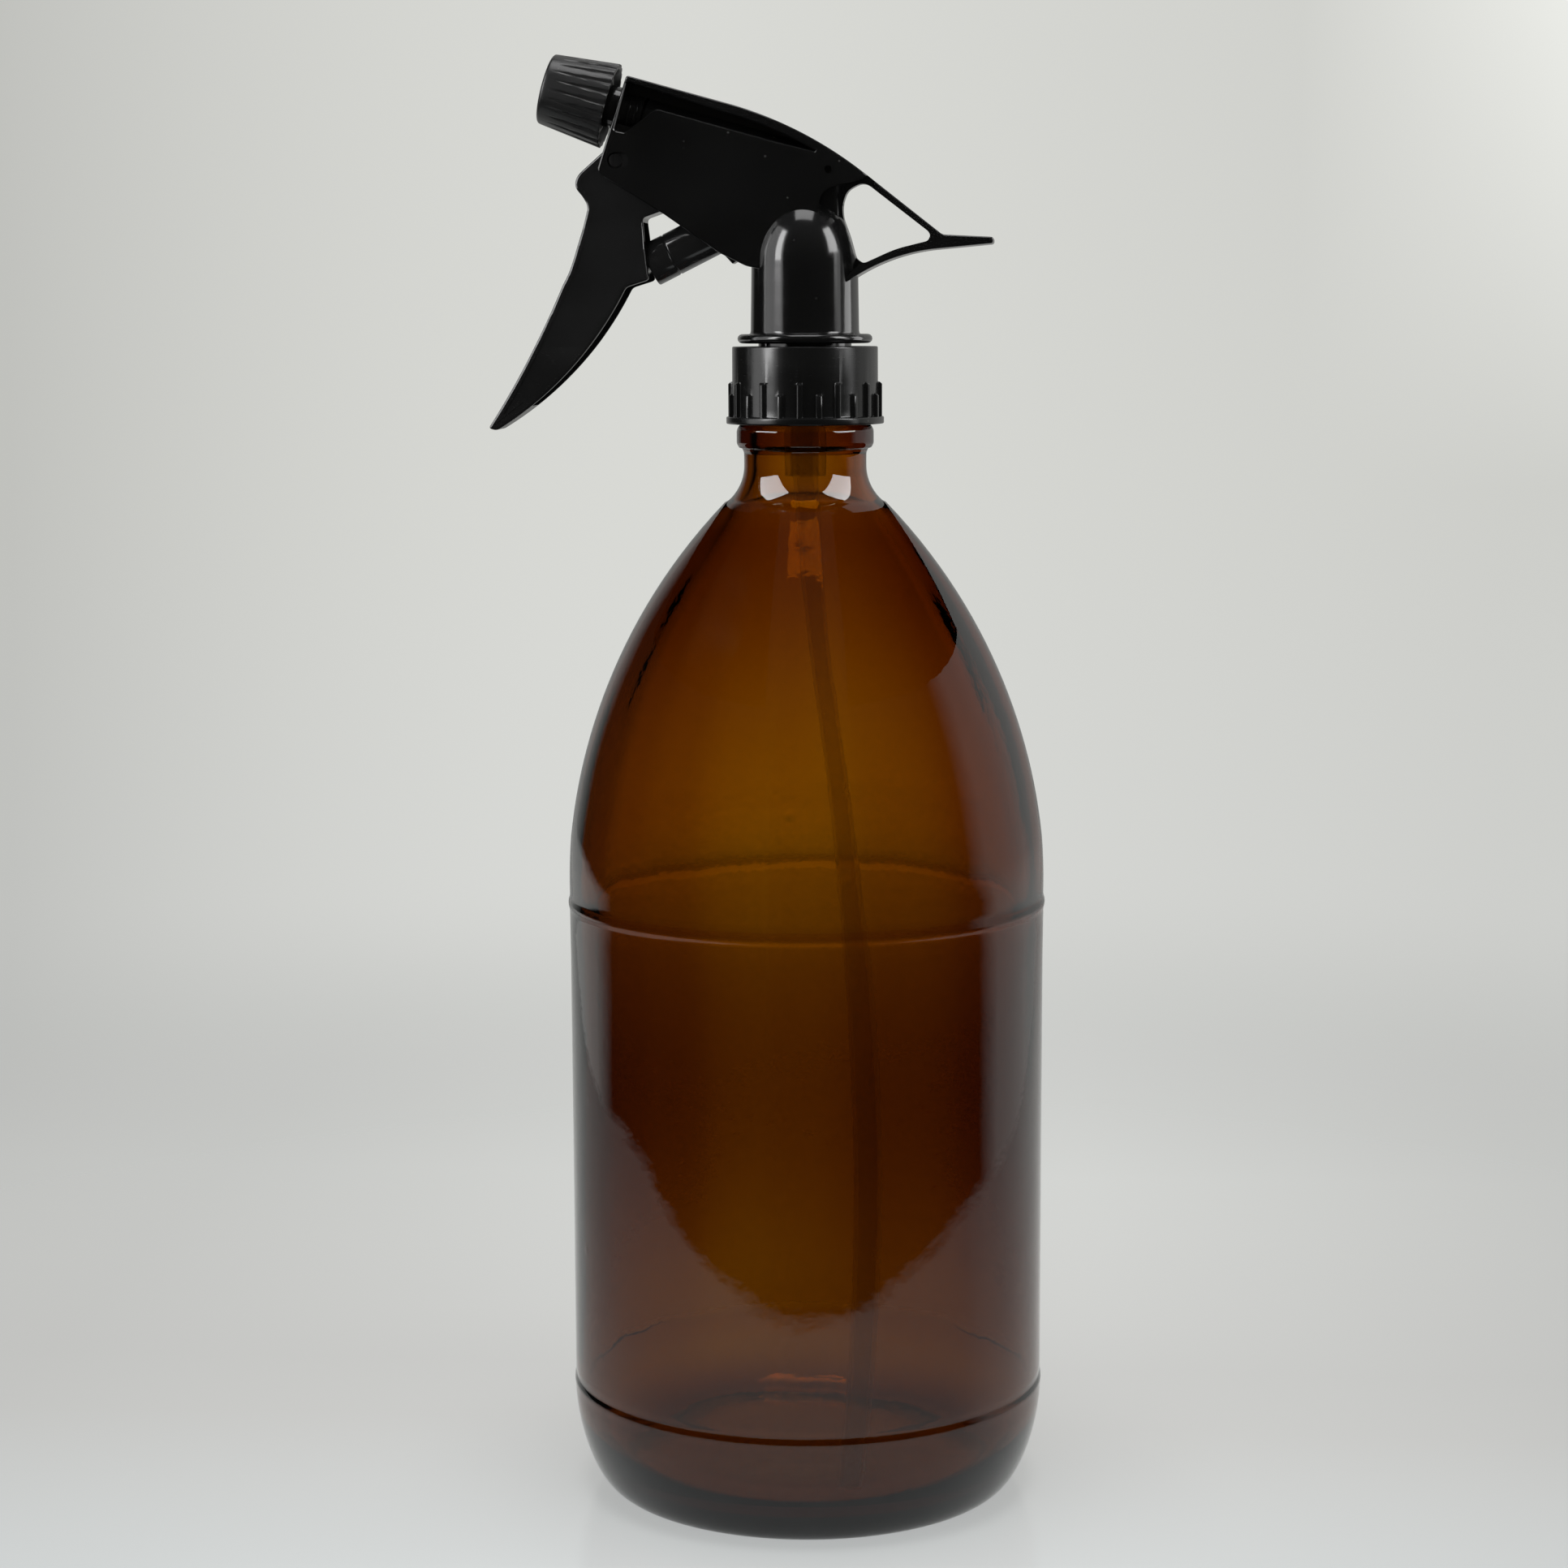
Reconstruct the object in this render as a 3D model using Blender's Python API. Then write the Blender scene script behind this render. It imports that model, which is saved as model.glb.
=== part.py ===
"""Trigger spray bottle: amber glass bottle with a screw-on hand sprayer.

Dimensions are in millimetres and MM turns them into metres. The origin is on
the bottle's axis at the standing plane, +Z is up and the nozzle points to -X.
"""
from math import atan2, cos, pi, radians, sin, sqrt

import bmesh
import bpy
from mathutils import Matrix, Vector

MM = 0.001
FIT = 0.3                     # gap between pieces that touch or slide

# Bottle
BOTTLE_R = 47.5               # step ring, the widest place
PANEL_R = 47.25               # wall between the heel ring and the step ring
GLASS = 2.4                   # wall thickness
HEEL_B = 17.0                 # height of the heel's quarter ellipse
HEEL_A = 8.0                  # its width
HEEL_RING_Z = 22.0
STEP_Z = 120.0                # top of the step ring, where the shoulder starts
STEP_HEIGHT = 1.6
SHOULDER_R = 112.0            # radius of the shoulder's arc
FILLET_Z = 205.3              # neck fillet: height of its centre
FILLET_R = 9.2
NECK_R = 12.0
SHOULDER_END_Z = 198.6
BEAD_R = 13.45
BEAD_Z = (208.7, 213.1)
FINISH_R = 12.3               # wall under the thread
LIP_Z = 223.9
BORE_R = NECK_R - GLASS
PUSH_UP = 1.2                 # depth of the recessed base panel
BASE_PANEL_R = 37.0
FLOOR_Z = 5.0                 # inside of the base

# Neck thread
PITCH = 4.0
THREAD_START_Z = 215.8
GLASS_THREAD_CREST = 13.2
COLLAR_THREAD_CREST = 12.75
THREAD_ROOT_HALF = 1.0
THREAD_CREST_HALF = 0.4

# Screw collar
COLLAR_Z = (213.4, 228.4)
COLLAR_R = 14.25
COLLAR_BORE = 13.5
COLLAR_TOP = 1.6
COLLAR_HOLE = 9.4
COLLAR_FLANGE_R = 15.45
COLLAR_FLANGE_H = 1.4
COLLAR_RIBS = 24
COLLAR_RIB_R = 15.1
COLLAR_RIB_W = 0.9
COLLAR_RIB_TOP = (221.6, 219.4)   # long and short ribs, in turn

# Closure stack
GASKET_Z = (224.2, 225.4)
STEM_FLANGE_Z = (225.7, 226.5)
STEM_FLANGE_R = 11.8
POST_NECK_R = 9.1
DISC_Z = (229.0, 230.8)
DISC_R = 13.2

# Post
POST_FOOT_R = 10.6
POST_R = 10.4
POST_TOP_Z = 244.0
DOME_Z = 246.4
POST_BORE = 7.4
POST_BORE_TOP = 243.8
PASSAGE_R = 1.3
SEAT_Z = 238.0                # foot of the inlet ball's conical seat
INLET_BALL_Z = 239.8
INLET_BALL_R = 2.0

# Head: side cheeks, top flange and tail
CHEEK_Y = 6.4                 # outer face of each cheek
WALL = 1.3
FLANGE_T = 1.8
SPRAY_ANGLE = 15.6            # the nozzle's axis above horizontal
PLATE_CENTRE = (-36.4, 274.4)    # where that axis meets the front plate (x, z)
RIDGE_START = (-33.9, 280.3)
RIDGE_STRAIGHT = 20.0        # runs along the nozzle's axis before it bends down
RIDGE_R = 76.6
RIDGE_TURN = 22.6
TAIL_FORK = (27.0, 249.7)
TAIL_TIP_X = 36.8
TAIL_TIP_Z = (248.0, 249.2)
TAIL_ROOT = (9.0, 241.0)
TAIL_ARC_R = 36.0
TAIL_ARC_HEADINGS = (34.0, 5.0)

# Pump: distances s run along its axis from PUMP_POINT, rising towards +X
PUMP_POINT = (-29.2, 244.7)
PUMP_ANGLE = 26.5
CYLINDER_R = 5.9
CYLINDER_BORE = 4.75
CYLINDER_S = (13.4, 29.0)
PISTON_R = 4.25
PISTON_S = (-1.2, 20.0)
PISTON_GROOVE_S = 3.5
PISTON_TAIL_R = 3.7
PISTON_TAIL_S = 16.5
PISTON_BORE = 3.2
PISTON_BORE_S = 6.0
SEAL_R = (4.0, 4.6)
SEAL_S = (16.9, 19.7)

# Trigger
PIVOT = (-36.2, 264.2)
STUD_R = 1.25
STUD_SLOT = 1.0               # play of the studs along the cheek slot
TRIGGER_HEAD_HALF = 4.8
TRIGGER_BLADE_HALF = 6.0
TRIGGER_TIP_HALF = 4.6
TRIGGER_WALL = 1.0
TRIGGER_FRONT_WALL = 1.5
NOSE_R = 1.6

# Outlet and nozzle: distances u run outwards along the nozzle's axis
TUBE_R = 3.3
VALVE_BORE = 2.4
OUTLET_BORE = 1.4
VALVE_SEAT_U = -9.0
OUTLET_BALL_R = 1.9
SPIGOT_R = 4.1
SPIGOT_U = 9.5
SPIGOT_THREAD_CREST = 4.6
SPIGOT_THREAD_U = 4.6
GROOVE_R = 3.4                # O-ring groove behind the spigot's thread
GROOVE_U = (2.0, 3.4)
O_RING_WIRE = 0.42
NOZZLE_PITCH = 2.5
NOZZLE_U = (1.5, 14.6)
NOZZLE_R = (8.3, 6.8)       # rear and front
NOZZLE_WALL = 1.1
SLEEVE_BORE = 4.9
SLEEVE_R = 5.75
ORIFICE_R = 0.45

# Dip tube
TUBE_OUTER = 2.4
TUBE_INNER = 1.6
TUBE_ROUTE = (
    (0.0, 0.0, 222.0), (0.0, 0.0, 203.0), (2.6, -1.6, 172.0), (7.6, -4.6, 140.0),
    (11.6, -10.0, 105.0), (13.4, -17.4, 70.0), (12.8, -25.2, 35.0), (10.4, -32.6, 7.5),
)

SPRAY_DIR = Vector((-cos(radians(SPRAY_ANGLE)), 0.0, sin(radians(SPRAY_ANGLE))))
PLATE_DIR = Vector((sin(radians(SPRAY_ANGLE)), 0.0, cos(radians(SPRAY_ANGLE))))
PUMP_DIR = Vector((cos(radians(PUMP_ANGLE)), 0.0, sin(radians(PUMP_ANGLE))))


# ---------------------------------------------------------------- helpers

def clear_scene():
    for obj in list(bpy.data.objects):
        bpy.data.objects.remove(obj, do_unlink=True)


def material(name, colour, roughness, metallic=0.0, alpha=1.0):
    mat = bpy.data.materials.new(name)
    mat.use_nodes = True
    shader = mat.node_tree.nodes["Principled BSDF"]
    shader.inputs["Base Color"].default_value = (*colour, 1.0)
    shader.inputs["Roughness"].default_value = roughness
    shader.inputs["Metallic"].default_value = metallic
    shader.inputs["Alpha"].default_value = alpha
    return mat


def new_object(name, bm):
    """Turn a bmesh in millimetres into an object in metres."""
    bmesh.ops.scale(bm, vec=(MM, MM, MM), verts=bm.verts)
    bmesh.ops.recalc_face_normals(bm, faces=bm.faces)
    mesh = bpy.data.meshes.new(name)
    bm.to_mesh(mesh)
    bm.free()
    obj = bpy.data.objects.new(name, mesh)
    bpy.context.collection.objects.link(obj)
    return obj


def loft(name, sections, closed=False, triangles=False):
    """Skin equal rings of points; the ends are capped unless the loft closes.

    Sides that twist are split into triangles, so that Booleans see flat faces.
    """
    bm = bmesh.new()
    rings = [[bm.verts.new(p) for p in section] for section in sections]
    pairs = list(zip(rings, rings[1:]))
    if closed:
        pairs.append((rings[-1], rings[0]))
    for low, high in pairs:
        for i, _ in enumerate(low):
            j = (i + 1) % len(low)
            bm.faces.new((low[i], low[j], high[j], high[i]))
    if not closed:
        bm.faces.new(rings[0])
        bm.faces.new(rings[-1])
    if triangles:
        bmesh.ops.triangulate(bm, faces=bm.faces)
    return new_object(name, bm)


def turned(name, profile, segments):
    """Revolve a closed outline of (radius, height) points about Z."""
    bm = bmesh.new()
    rings = []
    for radius, height in profile:
        if radius == 0.0:
            rings.append([bm.verts.new((0.0, 0.0, height))] * segments)
            continue
        angles = [2 * pi * k / segments for k in range(segments)]
        rings.append([bm.verts.new((radius * cos(a), radius * sin(a), height)) for a in angles])
    for low, high in zip(rings, rings[1:] + rings[:1]):
        for i in range(segments):
            j = (i + 1) % segments
            corners = list(dict.fromkeys((low[i], low[j], high[j], high[i])))
            if len(corners) > 2:
                bm.faces.new(corners)
    return new_object(name, bm)


def prism(name, outline, y_low, y_high):
    """Extrude an outline of (x, z) points along Y."""
    return loft(name, [[(x, y, z) for x, z in outline] for y in (y_low, y_high)])


def rod(name, radius, start, end, segments=16):
    """Solid cylinder between two points."""
    start, end = Vector(start), Vector(end)
    turn = (end - start).to_track_quat("Z", "Y").to_matrix().to_4x4()
    turn.translation = start
    length = (end - start).length
    ring = [Vector((radius * cos(2 * pi * k / segments), radius * sin(2 * pi * k / segments), 0.0))
            for k in range(segments)]
    sections = [[turn @ (p + Vector((0, 0, h))) for p in ring] for h in (0.0, length)]
    return loft(name, sections)


def helix_ridge(name, root_r, crest_r, pitch, start_z, angles, half_widths, per_turn=18):
    """Thread ridge: a trapezoid swept along a right-hand helix about Z."""
    first, last = angles
    steps = round(per_turn * (last - first) / (2 * pi))
    root_half, crest_half = half_widths
    sections = []
    for k in range(steps + 1):
        a = first + (last - first) * k / steps
        z = start_z + pitch * a / (2 * pi)
        corners = ((root_r, -root_half), (crest_r, -crest_half), (crest_r, crest_half), (root_r, root_half))
        sections.append([(r * cos(a), r * sin(a), z + dz) for r, dz in corners])
    return loft(name, sections)


def coil(name, mean_r, wire_r, z_range, turns, per_turn=12, sides=6):
    """Open compression spring about Z."""
    low, high = z_range
    count = round(per_turn * turns)
    sections = []
    for k in range(count + 1):
        a = 2 * pi * turns * k / count
        centre = Vector((mean_r * cos(a), mean_r * sin(a), low + wire_r + (high - low - 2 * wire_r) * k / count))
        outward = Vector((cos(a), sin(a), 0.0))
        up = Vector((0.0, 0.0, 1.0))
        ring = [2 * pi * m / sides for m in range(sides)]
        sections.append([centre + outward * wire_r * cos(t) + up * wire_r * sin(t) for t in ring])
    return loft(name, sections)


def ball(name, radius, segments=16, rings=8):
    bm = bmesh.new()
    bmesh.ops.create_uvsphere(bm, u_segments=segments, v_segments=rings, radius=radius)
    return new_object(name, bm)


def combine(target, operation, *tools):
    """Apply Booleans with the exact solver and drop the tools."""
    for tool in tools:
        modifier = target.modifiers.new(tool.name, "BOOLEAN")
        modifier.solver = "EXACT"
        modifier.operation = operation
        modifier.object = tool
        evaluated = target.evaluated_get(bpy.context.evaluated_depsgraph_get())
        mesh = bpy.data.meshes.new_from_object(evaluated)
        target.modifiers.clear()
        target.data = mesh
        bpy.data.objects.remove(tool, do_unlink=True)
    return target


def finish(obj, mat, origin=(0.0, 0.0, 0.0), smooth_angle=35.0):
    """Give a piece its material, its shading and its origin (millimetres)."""
    shift = Vector(origin) * MM
    obj.data.transform(Matrix.Translation(-shift))
    obj.location = shift
    obj.data.materials.clear()
    obj.data.materials.append(mat)
    obj.data.shade_smooth()
    obj.data.set_sharp_from_angle(angle=radians(smooth_angle))
    return obj


def aim(obj, origin, direction):
    """Turn a piece made about Z so that Z lies along direction from origin."""
    side = Vector((0.0, 1.0, 0.0))
    along = Vector(direction).normalized()
    across = side.cross(along)
    obj.matrix_world = Matrix((across, side, along)).transposed().to_4x4()
    obj.location = Vector(origin) * MM
    return obj


def aim_tool(obj, origin, direction):
    """Place a Boolean tool; its transform is written into its mesh."""
    aim(obj, origin, direction)
    bpy.context.view_layer.update()
    obj.data.transform(obj.matrix_world)
    obj.matrix_world = Matrix.Identity(4)
    return obj


def arc(start, heading, radius, turn, steps):
    """Points of an arc that leaves start at heading and turns by turn (degrees)."""
    side = 1.0 if turn > 0 else -1.0
    centre = (start[0] - side * radius * sin(radians(heading)), start[1] + side * radius * cos(radians(heading)))
    points = []
    for k in range(steps + 1):
        a = radians(heading + turn * k / steps)
        points.append((centre[0] + side * radius * sin(a), centre[1] - side * radius * cos(a)))
    return points


def on_plate(u, v):
    """(x, z) of a place u out of the front plate and v up along it."""
    place = Vector((PLATE_CENTRE[0], 0.0, PLATE_CENTRE[1])) + SPRAY_DIR * u + PLATE_DIR * v
    return (place.x, place.z)


def pump_place(s):
    return Vector((PUMP_POINT[0], 0.0, PUMP_POINT[1])) + PUMP_DIR * s


def nozzle_place(u):
    x, z = on_plate(u, 0.0)
    return Vector((x, 0.0, z))


# ---------------------------------------------------------------- bottle

def shoulder_radius(z, inset=0.0):
    reach = SHOULDER_R - inset
    return BOTTLE_R - SHOULDER_R + sqrt(reach ** 2 - (z - STEP_Z) ** 2)


def neck_fillet(radius, steps):
    """Concave arc from the shoulder up to the neck."""
    end_r = shoulder_radius(SHOULDER_END_Z)
    centre_r = NECK_R + FILLET_R
    first = atan2(FILLET_Z - SHOULDER_END_Z, centre_r - end_r)
    angles = [first * (1 - k / steps) for k in range(steps + 1)]
    return [(centre_r - radius * cos(a), FILLET_Z - radius * sin(a)) for a in angles]


def heel(a, b, top_r, bottom_z, steps):
    """Quarter ellipse from the base out to the wall."""
    angles = [pi / 2 * k / steps for k in range(steps + 1)]
    return [(top_r - a + a * sin(t), bottom_z + b - b * cos(t)) for t in angles]


def glass_bottle(mat):
    outside = [(0.0, PUSH_UP), (BASE_PANEL_R, PUSH_UP), (BASE_PANEL_R + 0.8, 0.0)]
    outside += heel(HEEL_A, HEEL_B, PANEL_R, 0.0, 6)
    outside += [(PANEL_R + 0.1, HEEL_RING_Z - 2.0), (PANEL_R + 0.1, HEEL_RING_Z), (PANEL_R - 0.1, HEEL_RING_Z + 0.8)]
    outside += [(PANEL_R - 0.1, 70.0), (PANEL_R, STEP_Z - STEP_HEIGHT - 0.3), (BOTTLE_R, STEP_Z - STEP_HEIGHT)]
    outside += [(shoulder_radius(z), z) for z in (120, 132, 144, 155, 166, 176, 185, 192.5)]
    outside += neck_fillet(FILLET_R, 3)
    outside += [(NECK_R, BEAD_Z[0] - 0.4), (BEAD_R - 0.5, BEAD_Z[0]), (BEAD_R, BEAD_Z[0] + 0.8)]
    outside += [(BEAD_R, BEAD_Z[1] - 0.6), (BEAD_R - 0.5, BEAD_Z[1]), (FINISH_R, BEAD_Z[1] + 0.5)]
    outside += [(FINISH_R, LIP_Z - 0.8), (FINISH_R - 0.8, LIP_Z)]
    inside = [(BORE_R + 0.5, LIP_Z), (BORE_R, LIP_Z - 0.8)]
    inside += reversed(neck_fillet(FILLET_R + GLASS, 3))
    inside += [(shoulder_radius(z, GLASS), z) for z in (187, 175, 162, 148, 134, 120)]
    inside += reversed(heel(9.0, 13.0, PANEL_R - GLASS, FLOOR_Z, 4))
    inside += [(0.0, FLOOR_Z + 1.2)]
    bottle = turned("glass_bottle", outside + inside, 36)
    ridge = helix_ridge("neck_thread", FINISH_R - 0.25, GLASS_THREAD_CREST, PITCH, THREAD_START_Z,
                        (0.0, 3 * pi), (THREAD_ROOT_HALF, THREAD_CREST_HALF))
    combine(bottle, "UNION", ridge)
    return finish(bottle, mat)


# ---------------------------------------------------------------- closure

def collar_rib_boxes():
    """All grip ribs as one tool, long and short in turn."""
    bm = bmesh.new()
    for k in range(COLLAR_RIBS):
        low, high = COLLAR_Z[0] + 1.0, COLLAR_RIB_TOP[k % 2]
        size = (COLLAR_RIB_R - COLLAR_R + 0.5, COLLAR_RIB_W, high - low)
        place = Matrix.Rotation(2 * pi * k / COLLAR_RIBS, 4, "Z") @ Matrix.Translation(
            (COLLAR_RIB_R - size[0] / 2, 0.0, (low + high) / 2))
        bmesh.ops.create_cube(bm, size=1.0, matrix=place @ Matrix.Diagonal((*size, 1.0)))
    return new_object("collar_ribs", bm)


def screw_collar(mat):
    bottom, top = COLLAR_Z
    profile = [
        (COLLAR_BORE, bottom), (COLLAR_FLANGE_R - 0.2, bottom), (COLLAR_FLANGE_R, bottom + 0.2),
        (COLLAR_FLANGE_R, bottom + COLLAR_FLANGE_H), (COLLAR_R + 0.05, bottom + COLLAR_FLANGE_H),
        (COLLAR_R, top - 0.5), (COLLAR_R - 0.5, top), (COLLAR_HOLE, top),
        (COLLAR_HOLE, top - COLLAR_TOP), (COLLAR_BORE, top - COLLAR_TOP),
    ]
    collar = turned("screw_collar", profile, 36)
    combine(collar, "UNION", collar_rib_boxes())
    ridge = helix_ridge("collar_thread", COLLAR_BORE + 0.25, COLLAR_THREAD_CREST, PITCH,
                        THREAD_START_Z + PITCH / 2, (-pi / 2, 3 * pi / 2),
                        (THREAD_ROOT_HALF, THREAD_CREST_HALF))
    combine(collar, "UNION", ridge)
    return finish(collar, mat)


def neck_gasket(mat):
    low, high = GASKET_Z
    ring = turned("neck_gasket", [(9.0, low), (12.2, low), (12.2, high), (9.0, high)], 32)
    return finish(ring, mat)


def inlet_stem(mat):
    """Flanged valve housing: dip tube socket below, ball seat above."""
    low, high = STEM_FLANGE_Z
    plug_r = POST_BORE - FIT
    plug_top = POST_BORE_TOP - FIT
    profile = [
        (TUBE_OUTER + FIT, 203.0), (4.0, 203.0), (4.4, low - 2.0), (6.0, low), (STEM_FLANGE_R, low),
        (STEM_FLANGE_R, high), (plug_r, high), (plug_r, plug_top - 0.8), (plug_r - 0.8, plug_top),
        (2.7, plug_top), (2.7, SEAT_Z + 1.4), (1.5, SEAT_Z), (1.5, 222.5), (TUBE_OUTER + FIT, 222.3),
    ]
    return finish(turned("inlet_stem", profile, 20), mat)


def smooth_route(points, per_leg):
    """Catmull-Rom curve through the points."""
    ends = [Vector(points[0]) * 2 - Vector(points[1])] + [Vector(p) for p in points]
    ends.append(ends[-1] * 2 - ends[-2])
    curve = []
    for a, b, c, d in zip(ends, ends[1:], ends[2:], ends[3:]):
        for k in range(per_leg):
            t = k / per_leg
            curve.append(0.5 * (2 * b + (c - a) * t + (2 * a - 5 * b + 4 * c - d) * t ** 2
                                + (3 * b - a - 3 * c + d) * t ** 3))
    return curve + [ends[-2]]


def dip_tube(mat):
    """Thin tube from the stem's socket, bowed gently down to the base."""
    route = smooth_route(TUBE_ROUTE, 4)
    sides = 8
    outer, inner = [], []
    for k, centre in enumerate(route):
        along = (route[min(k + 1, len(route) - 1)] - route[max(k - 1, 0)]).normalized()
        across = Vector((0.0, 1.0, 0.0)).cross(along).normalized()
        other = along.cross(across)
        angles = [2 * pi * m / sides for m in range(sides)]
        spokes = [across * cos(t) + other * sin(t) for t in angles]
        outer.append([centre + spoke * TUBE_OUTER for spoke in spokes])
        inner.append([centre + spoke * TUBE_INNER for spoke in spokes])
    return finish(loft("dip_tube", outer + inner[::-1], closed=True), mat)


# ---------------------------------------------------------------- sprayer body

def ridge_line(drop, steps):
    """Top line of the head from the nozzle back to the tail fork, lowered by drop."""
    normal = Vector((sin(radians(-SPRAY_ANGLE)), -cos(radians(-SPRAY_ANGLE)))) * drop
    start = Vector(RIDGE_START) + normal
    heading = Vector((cos(radians(-SPRAY_ANGLE)), sin(radians(-SPRAY_ANGLE))))
    bend = start + heading * RIDGE_STRAIGHT
    return [tuple(start)] + arc(tuple(bend), -SPRAY_ANGLE, RIDGE_R - drop, -RIDGE_TURN, steps)


def head_outline():
    """Side view of the cheeks, top flange and tail."""
    outline = ridge_line(0.0, 8)
    outline += [TAIL_FORK, (TAIL_TIP_X, TAIL_TIP_Z[1]), (TAIL_TIP_X, TAIL_TIP_Z[0])]
    first, last = TAIL_ARC_HEADINGS
    outline += reversed(arc(TAIL_ROOT, first, TAIL_ARC_R, last - first, 6))
    outline += [(4.0, 238.5), (-7.0, 243.0), (-11.0, 243.9), (-16.1, 246.4), (-26.9, 253.9), (-38.4, 260.9)]
    outline += [on_plate(0.0, -12.4)]
    return outline


def tail_window():
    outline = [(11.7, 260.0), (24.3, 250.3), (24.7, 249.5), (24.2, 248.5)]
    outline += [(18.0, 247.0), (11.7, 244.2), (10.0, 245.4), (8.9, 249.4), (7.6, 253.2), (7.5, 255.6), (8.4, 258.3)]
    return prism("tail_window", outline, -CHEEK_Y - 2, CHEEK_Y + 2)


def recess_outline(floor):
    """Side pocket between the top flange and the cheek; floor lists its lower edge."""
    under = [p for p in ridge_line(FLANGE_T, 8) if p[0] < 2.0]
    return [on_plate(-1.2, 5.3)] + under[1:] + [(2.7, 265.6)] + floor


def side_pockets():
    """Tools that open the head's sides around the outlet tube."""
    tools = []
    cheek_edge = [on_plate(-31.9, 1.8), on_plate(-8.1, 1.8), on_plate(-3.2, -2.9), on_plate(-1.2, -2.9)]
    deck_edge = [on_plate(-31.9, 1.0), on_plate(-30.0, -2.9), on_plate(-1.2, -2.9)]
    for side in (-1, 1):
        outer = sorted((side * (CHEEK_Y - WALL - 0.3), side * (CHEEK_Y + 2)))
        inner = sorted((side * 0.7, side * (CHEEK_Y - WALL)))
        tools.append(prism("pocket_outer", recess_outline(cheek_edge), *outer))
        tools.append(prism("pocket_inner", recess_outline(deck_edge), *inner))
    return tools


def trigger_bay():
    """Space between the cheeks for the trigger's head and the pump."""
    outline = [on_plate(2.0, -6.4), on_plate(-1.5, -6.4), on_plate(-1.5, -4.4), on_plate(-30.0, -4.4)]
    outline += [(-8.7, 236.0), (-46.0, 236.0), (-46.0, 262.0)]
    half = CHEEK_Y - WALL
    return prism("trigger_bay", outline, -half, half)


def post():
    """Swivel neck, disc, tapered post and dome."""
    steps = 7
    dome = [(POST_R * cos(pi / 2 * k / steps), DOME_Z + POST_R * sin(pi / 2 * k / steps)) for k in range(steps)]
    profile = [
        (0.0, 227.0), (POST_NECK_R, 227.0), (POST_NECK_R, DISC_Z[0]), (DISC_R - 0.8, DISC_Z[0]),
        (DISC_R - 0.1, DISC_Z[0] + 0.4), (DISC_R, sum(DISC_Z) / 2), (DISC_R - 0.1, DISC_Z[1] - 0.4),
        (DISC_R - 0.8, DISC_Z[1]),
        (POST_FOOT_R, DISC_Z[1]), (POST_R, POST_TOP_Z),
    ] + dome + [(0.0, DOME_Z + POST_R)]
    return turned("post", profile, 32)


def stud_slot():
    """Through slot for the trigger's studs, rounded at both ends."""
    outline = []
    for centre_x, first in ((PIVOT[0] + STUD_SLOT, -90), (PIVOT[0], 90)):
        for k in range(9):
            a = radians(first + 180 * k / 8)
            outline.append((centre_x + (STUD_R + FIT) * cos(a), PIVOT[1] + (STUD_R + FIT) * sin(a)))
    return prism("stud_slot", outline, -CHEEK_Y - 2, CHEEK_Y + 2)


def stop_tab():
    """Small tab under the pump cylinder's mouth."""
    outline = [(-16.0, 248.0), (-15.4, 246.0), (-13.9, 244.4), (-13.1, 244.9), (-12.0, 248.0)]
    return prism("stop_tab", outline, -2.5, 2.5)


def spigot_thread():
    ridge = helix_ridge("spigot_thread", SPIGOT_R - 0.2, SPIGOT_THREAD_CREST, NOZZLE_PITCH,
                        SPIGOT_THREAD_U, (0.0, 2.5 * pi), (0.6, 0.25), per_turn=16)
    return aim_tool(ridge, nozzle_place(0.0), SPRAY_DIR)


def o_ring_groove():
    low, high = GROOVE_U
    outer = SPIGOT_R + 1.0
    tool = turned("o_ring_groove", [(GROOVE_R, low), (outer, low), (outer, high), (GROOVE_R, high)], 20)
    return aim_tool(tool, nozzle_place(0.0), SPRAY_DIR)


def sprayer_body(mat):
    body = prism("sprayer_body", head_outline(), -CHEEK_Y, CHEEK_Y)
    combine(body, "DIFFERENCE", trigger_bay(), *side_pockets())
    tube_end = nozzle_place(-37.5)
    combine(
        body, "UNION",
        post(),
        rod("cylinder", CYLINDER_R, pump_place(CYLINDER_S[0]), pump_place(CYLINDER_S[1]), 24),
        rod("outlet_tube", TUBE_R, nozzle_place(-0.6), tube_end, 20),
        rod("spigot", SPIGOT_R, nozzle_place(-0.8), nozzle_place(SPIGOT_U), 24),
        spigot_thread(),
        stop_tab(),
    )
    combine(
        body, "DIFFERENCE",
        tail_window(),
        stud_slot(),
        o_ring_groove(),
        rod("post_bore", POST_BORE, (0, 0, 220.0), (0, 0, POST_BORE_TOP), 24),
        rod("riser", PASSAGE_R, (0, 0, POST_BORE_TOP - 1.0), (0, 0, nozzle_place(-37.5).z - 0.5), 10),
        rod("cylinder_bore", CYLINDER_BORE, pump_place(CYLINDER_S[0] - 3.0), pump_place(CYLINDER_S[1] - 1.2), 24),
        rod("cylinder_port", 1.1, pump_place(CYLINDER_S[1] - 2.0), pump_place(33.4), 10),
        rod("outlet_bore", OUTLET_BORE, nozzle_place(VALVE_SEAT_U + 1.0), nozzle_place(-38.6), 10),
        rod("valve_bore", VALVE_BORE, nozzle_place(VALVE_SEAT_U), nozzle_place(SPIGOT_U + 3.0), 20),
        rod("witness_hole", 0.75, (5.0, -CHEEK_Y - 2, 262.2), (5.0, -CHEEK_Y + 1.5, 262.2), 10),
    )
    return finish(body, mat)


# ---------------------------------------------------------------- trigger and pump

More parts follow.
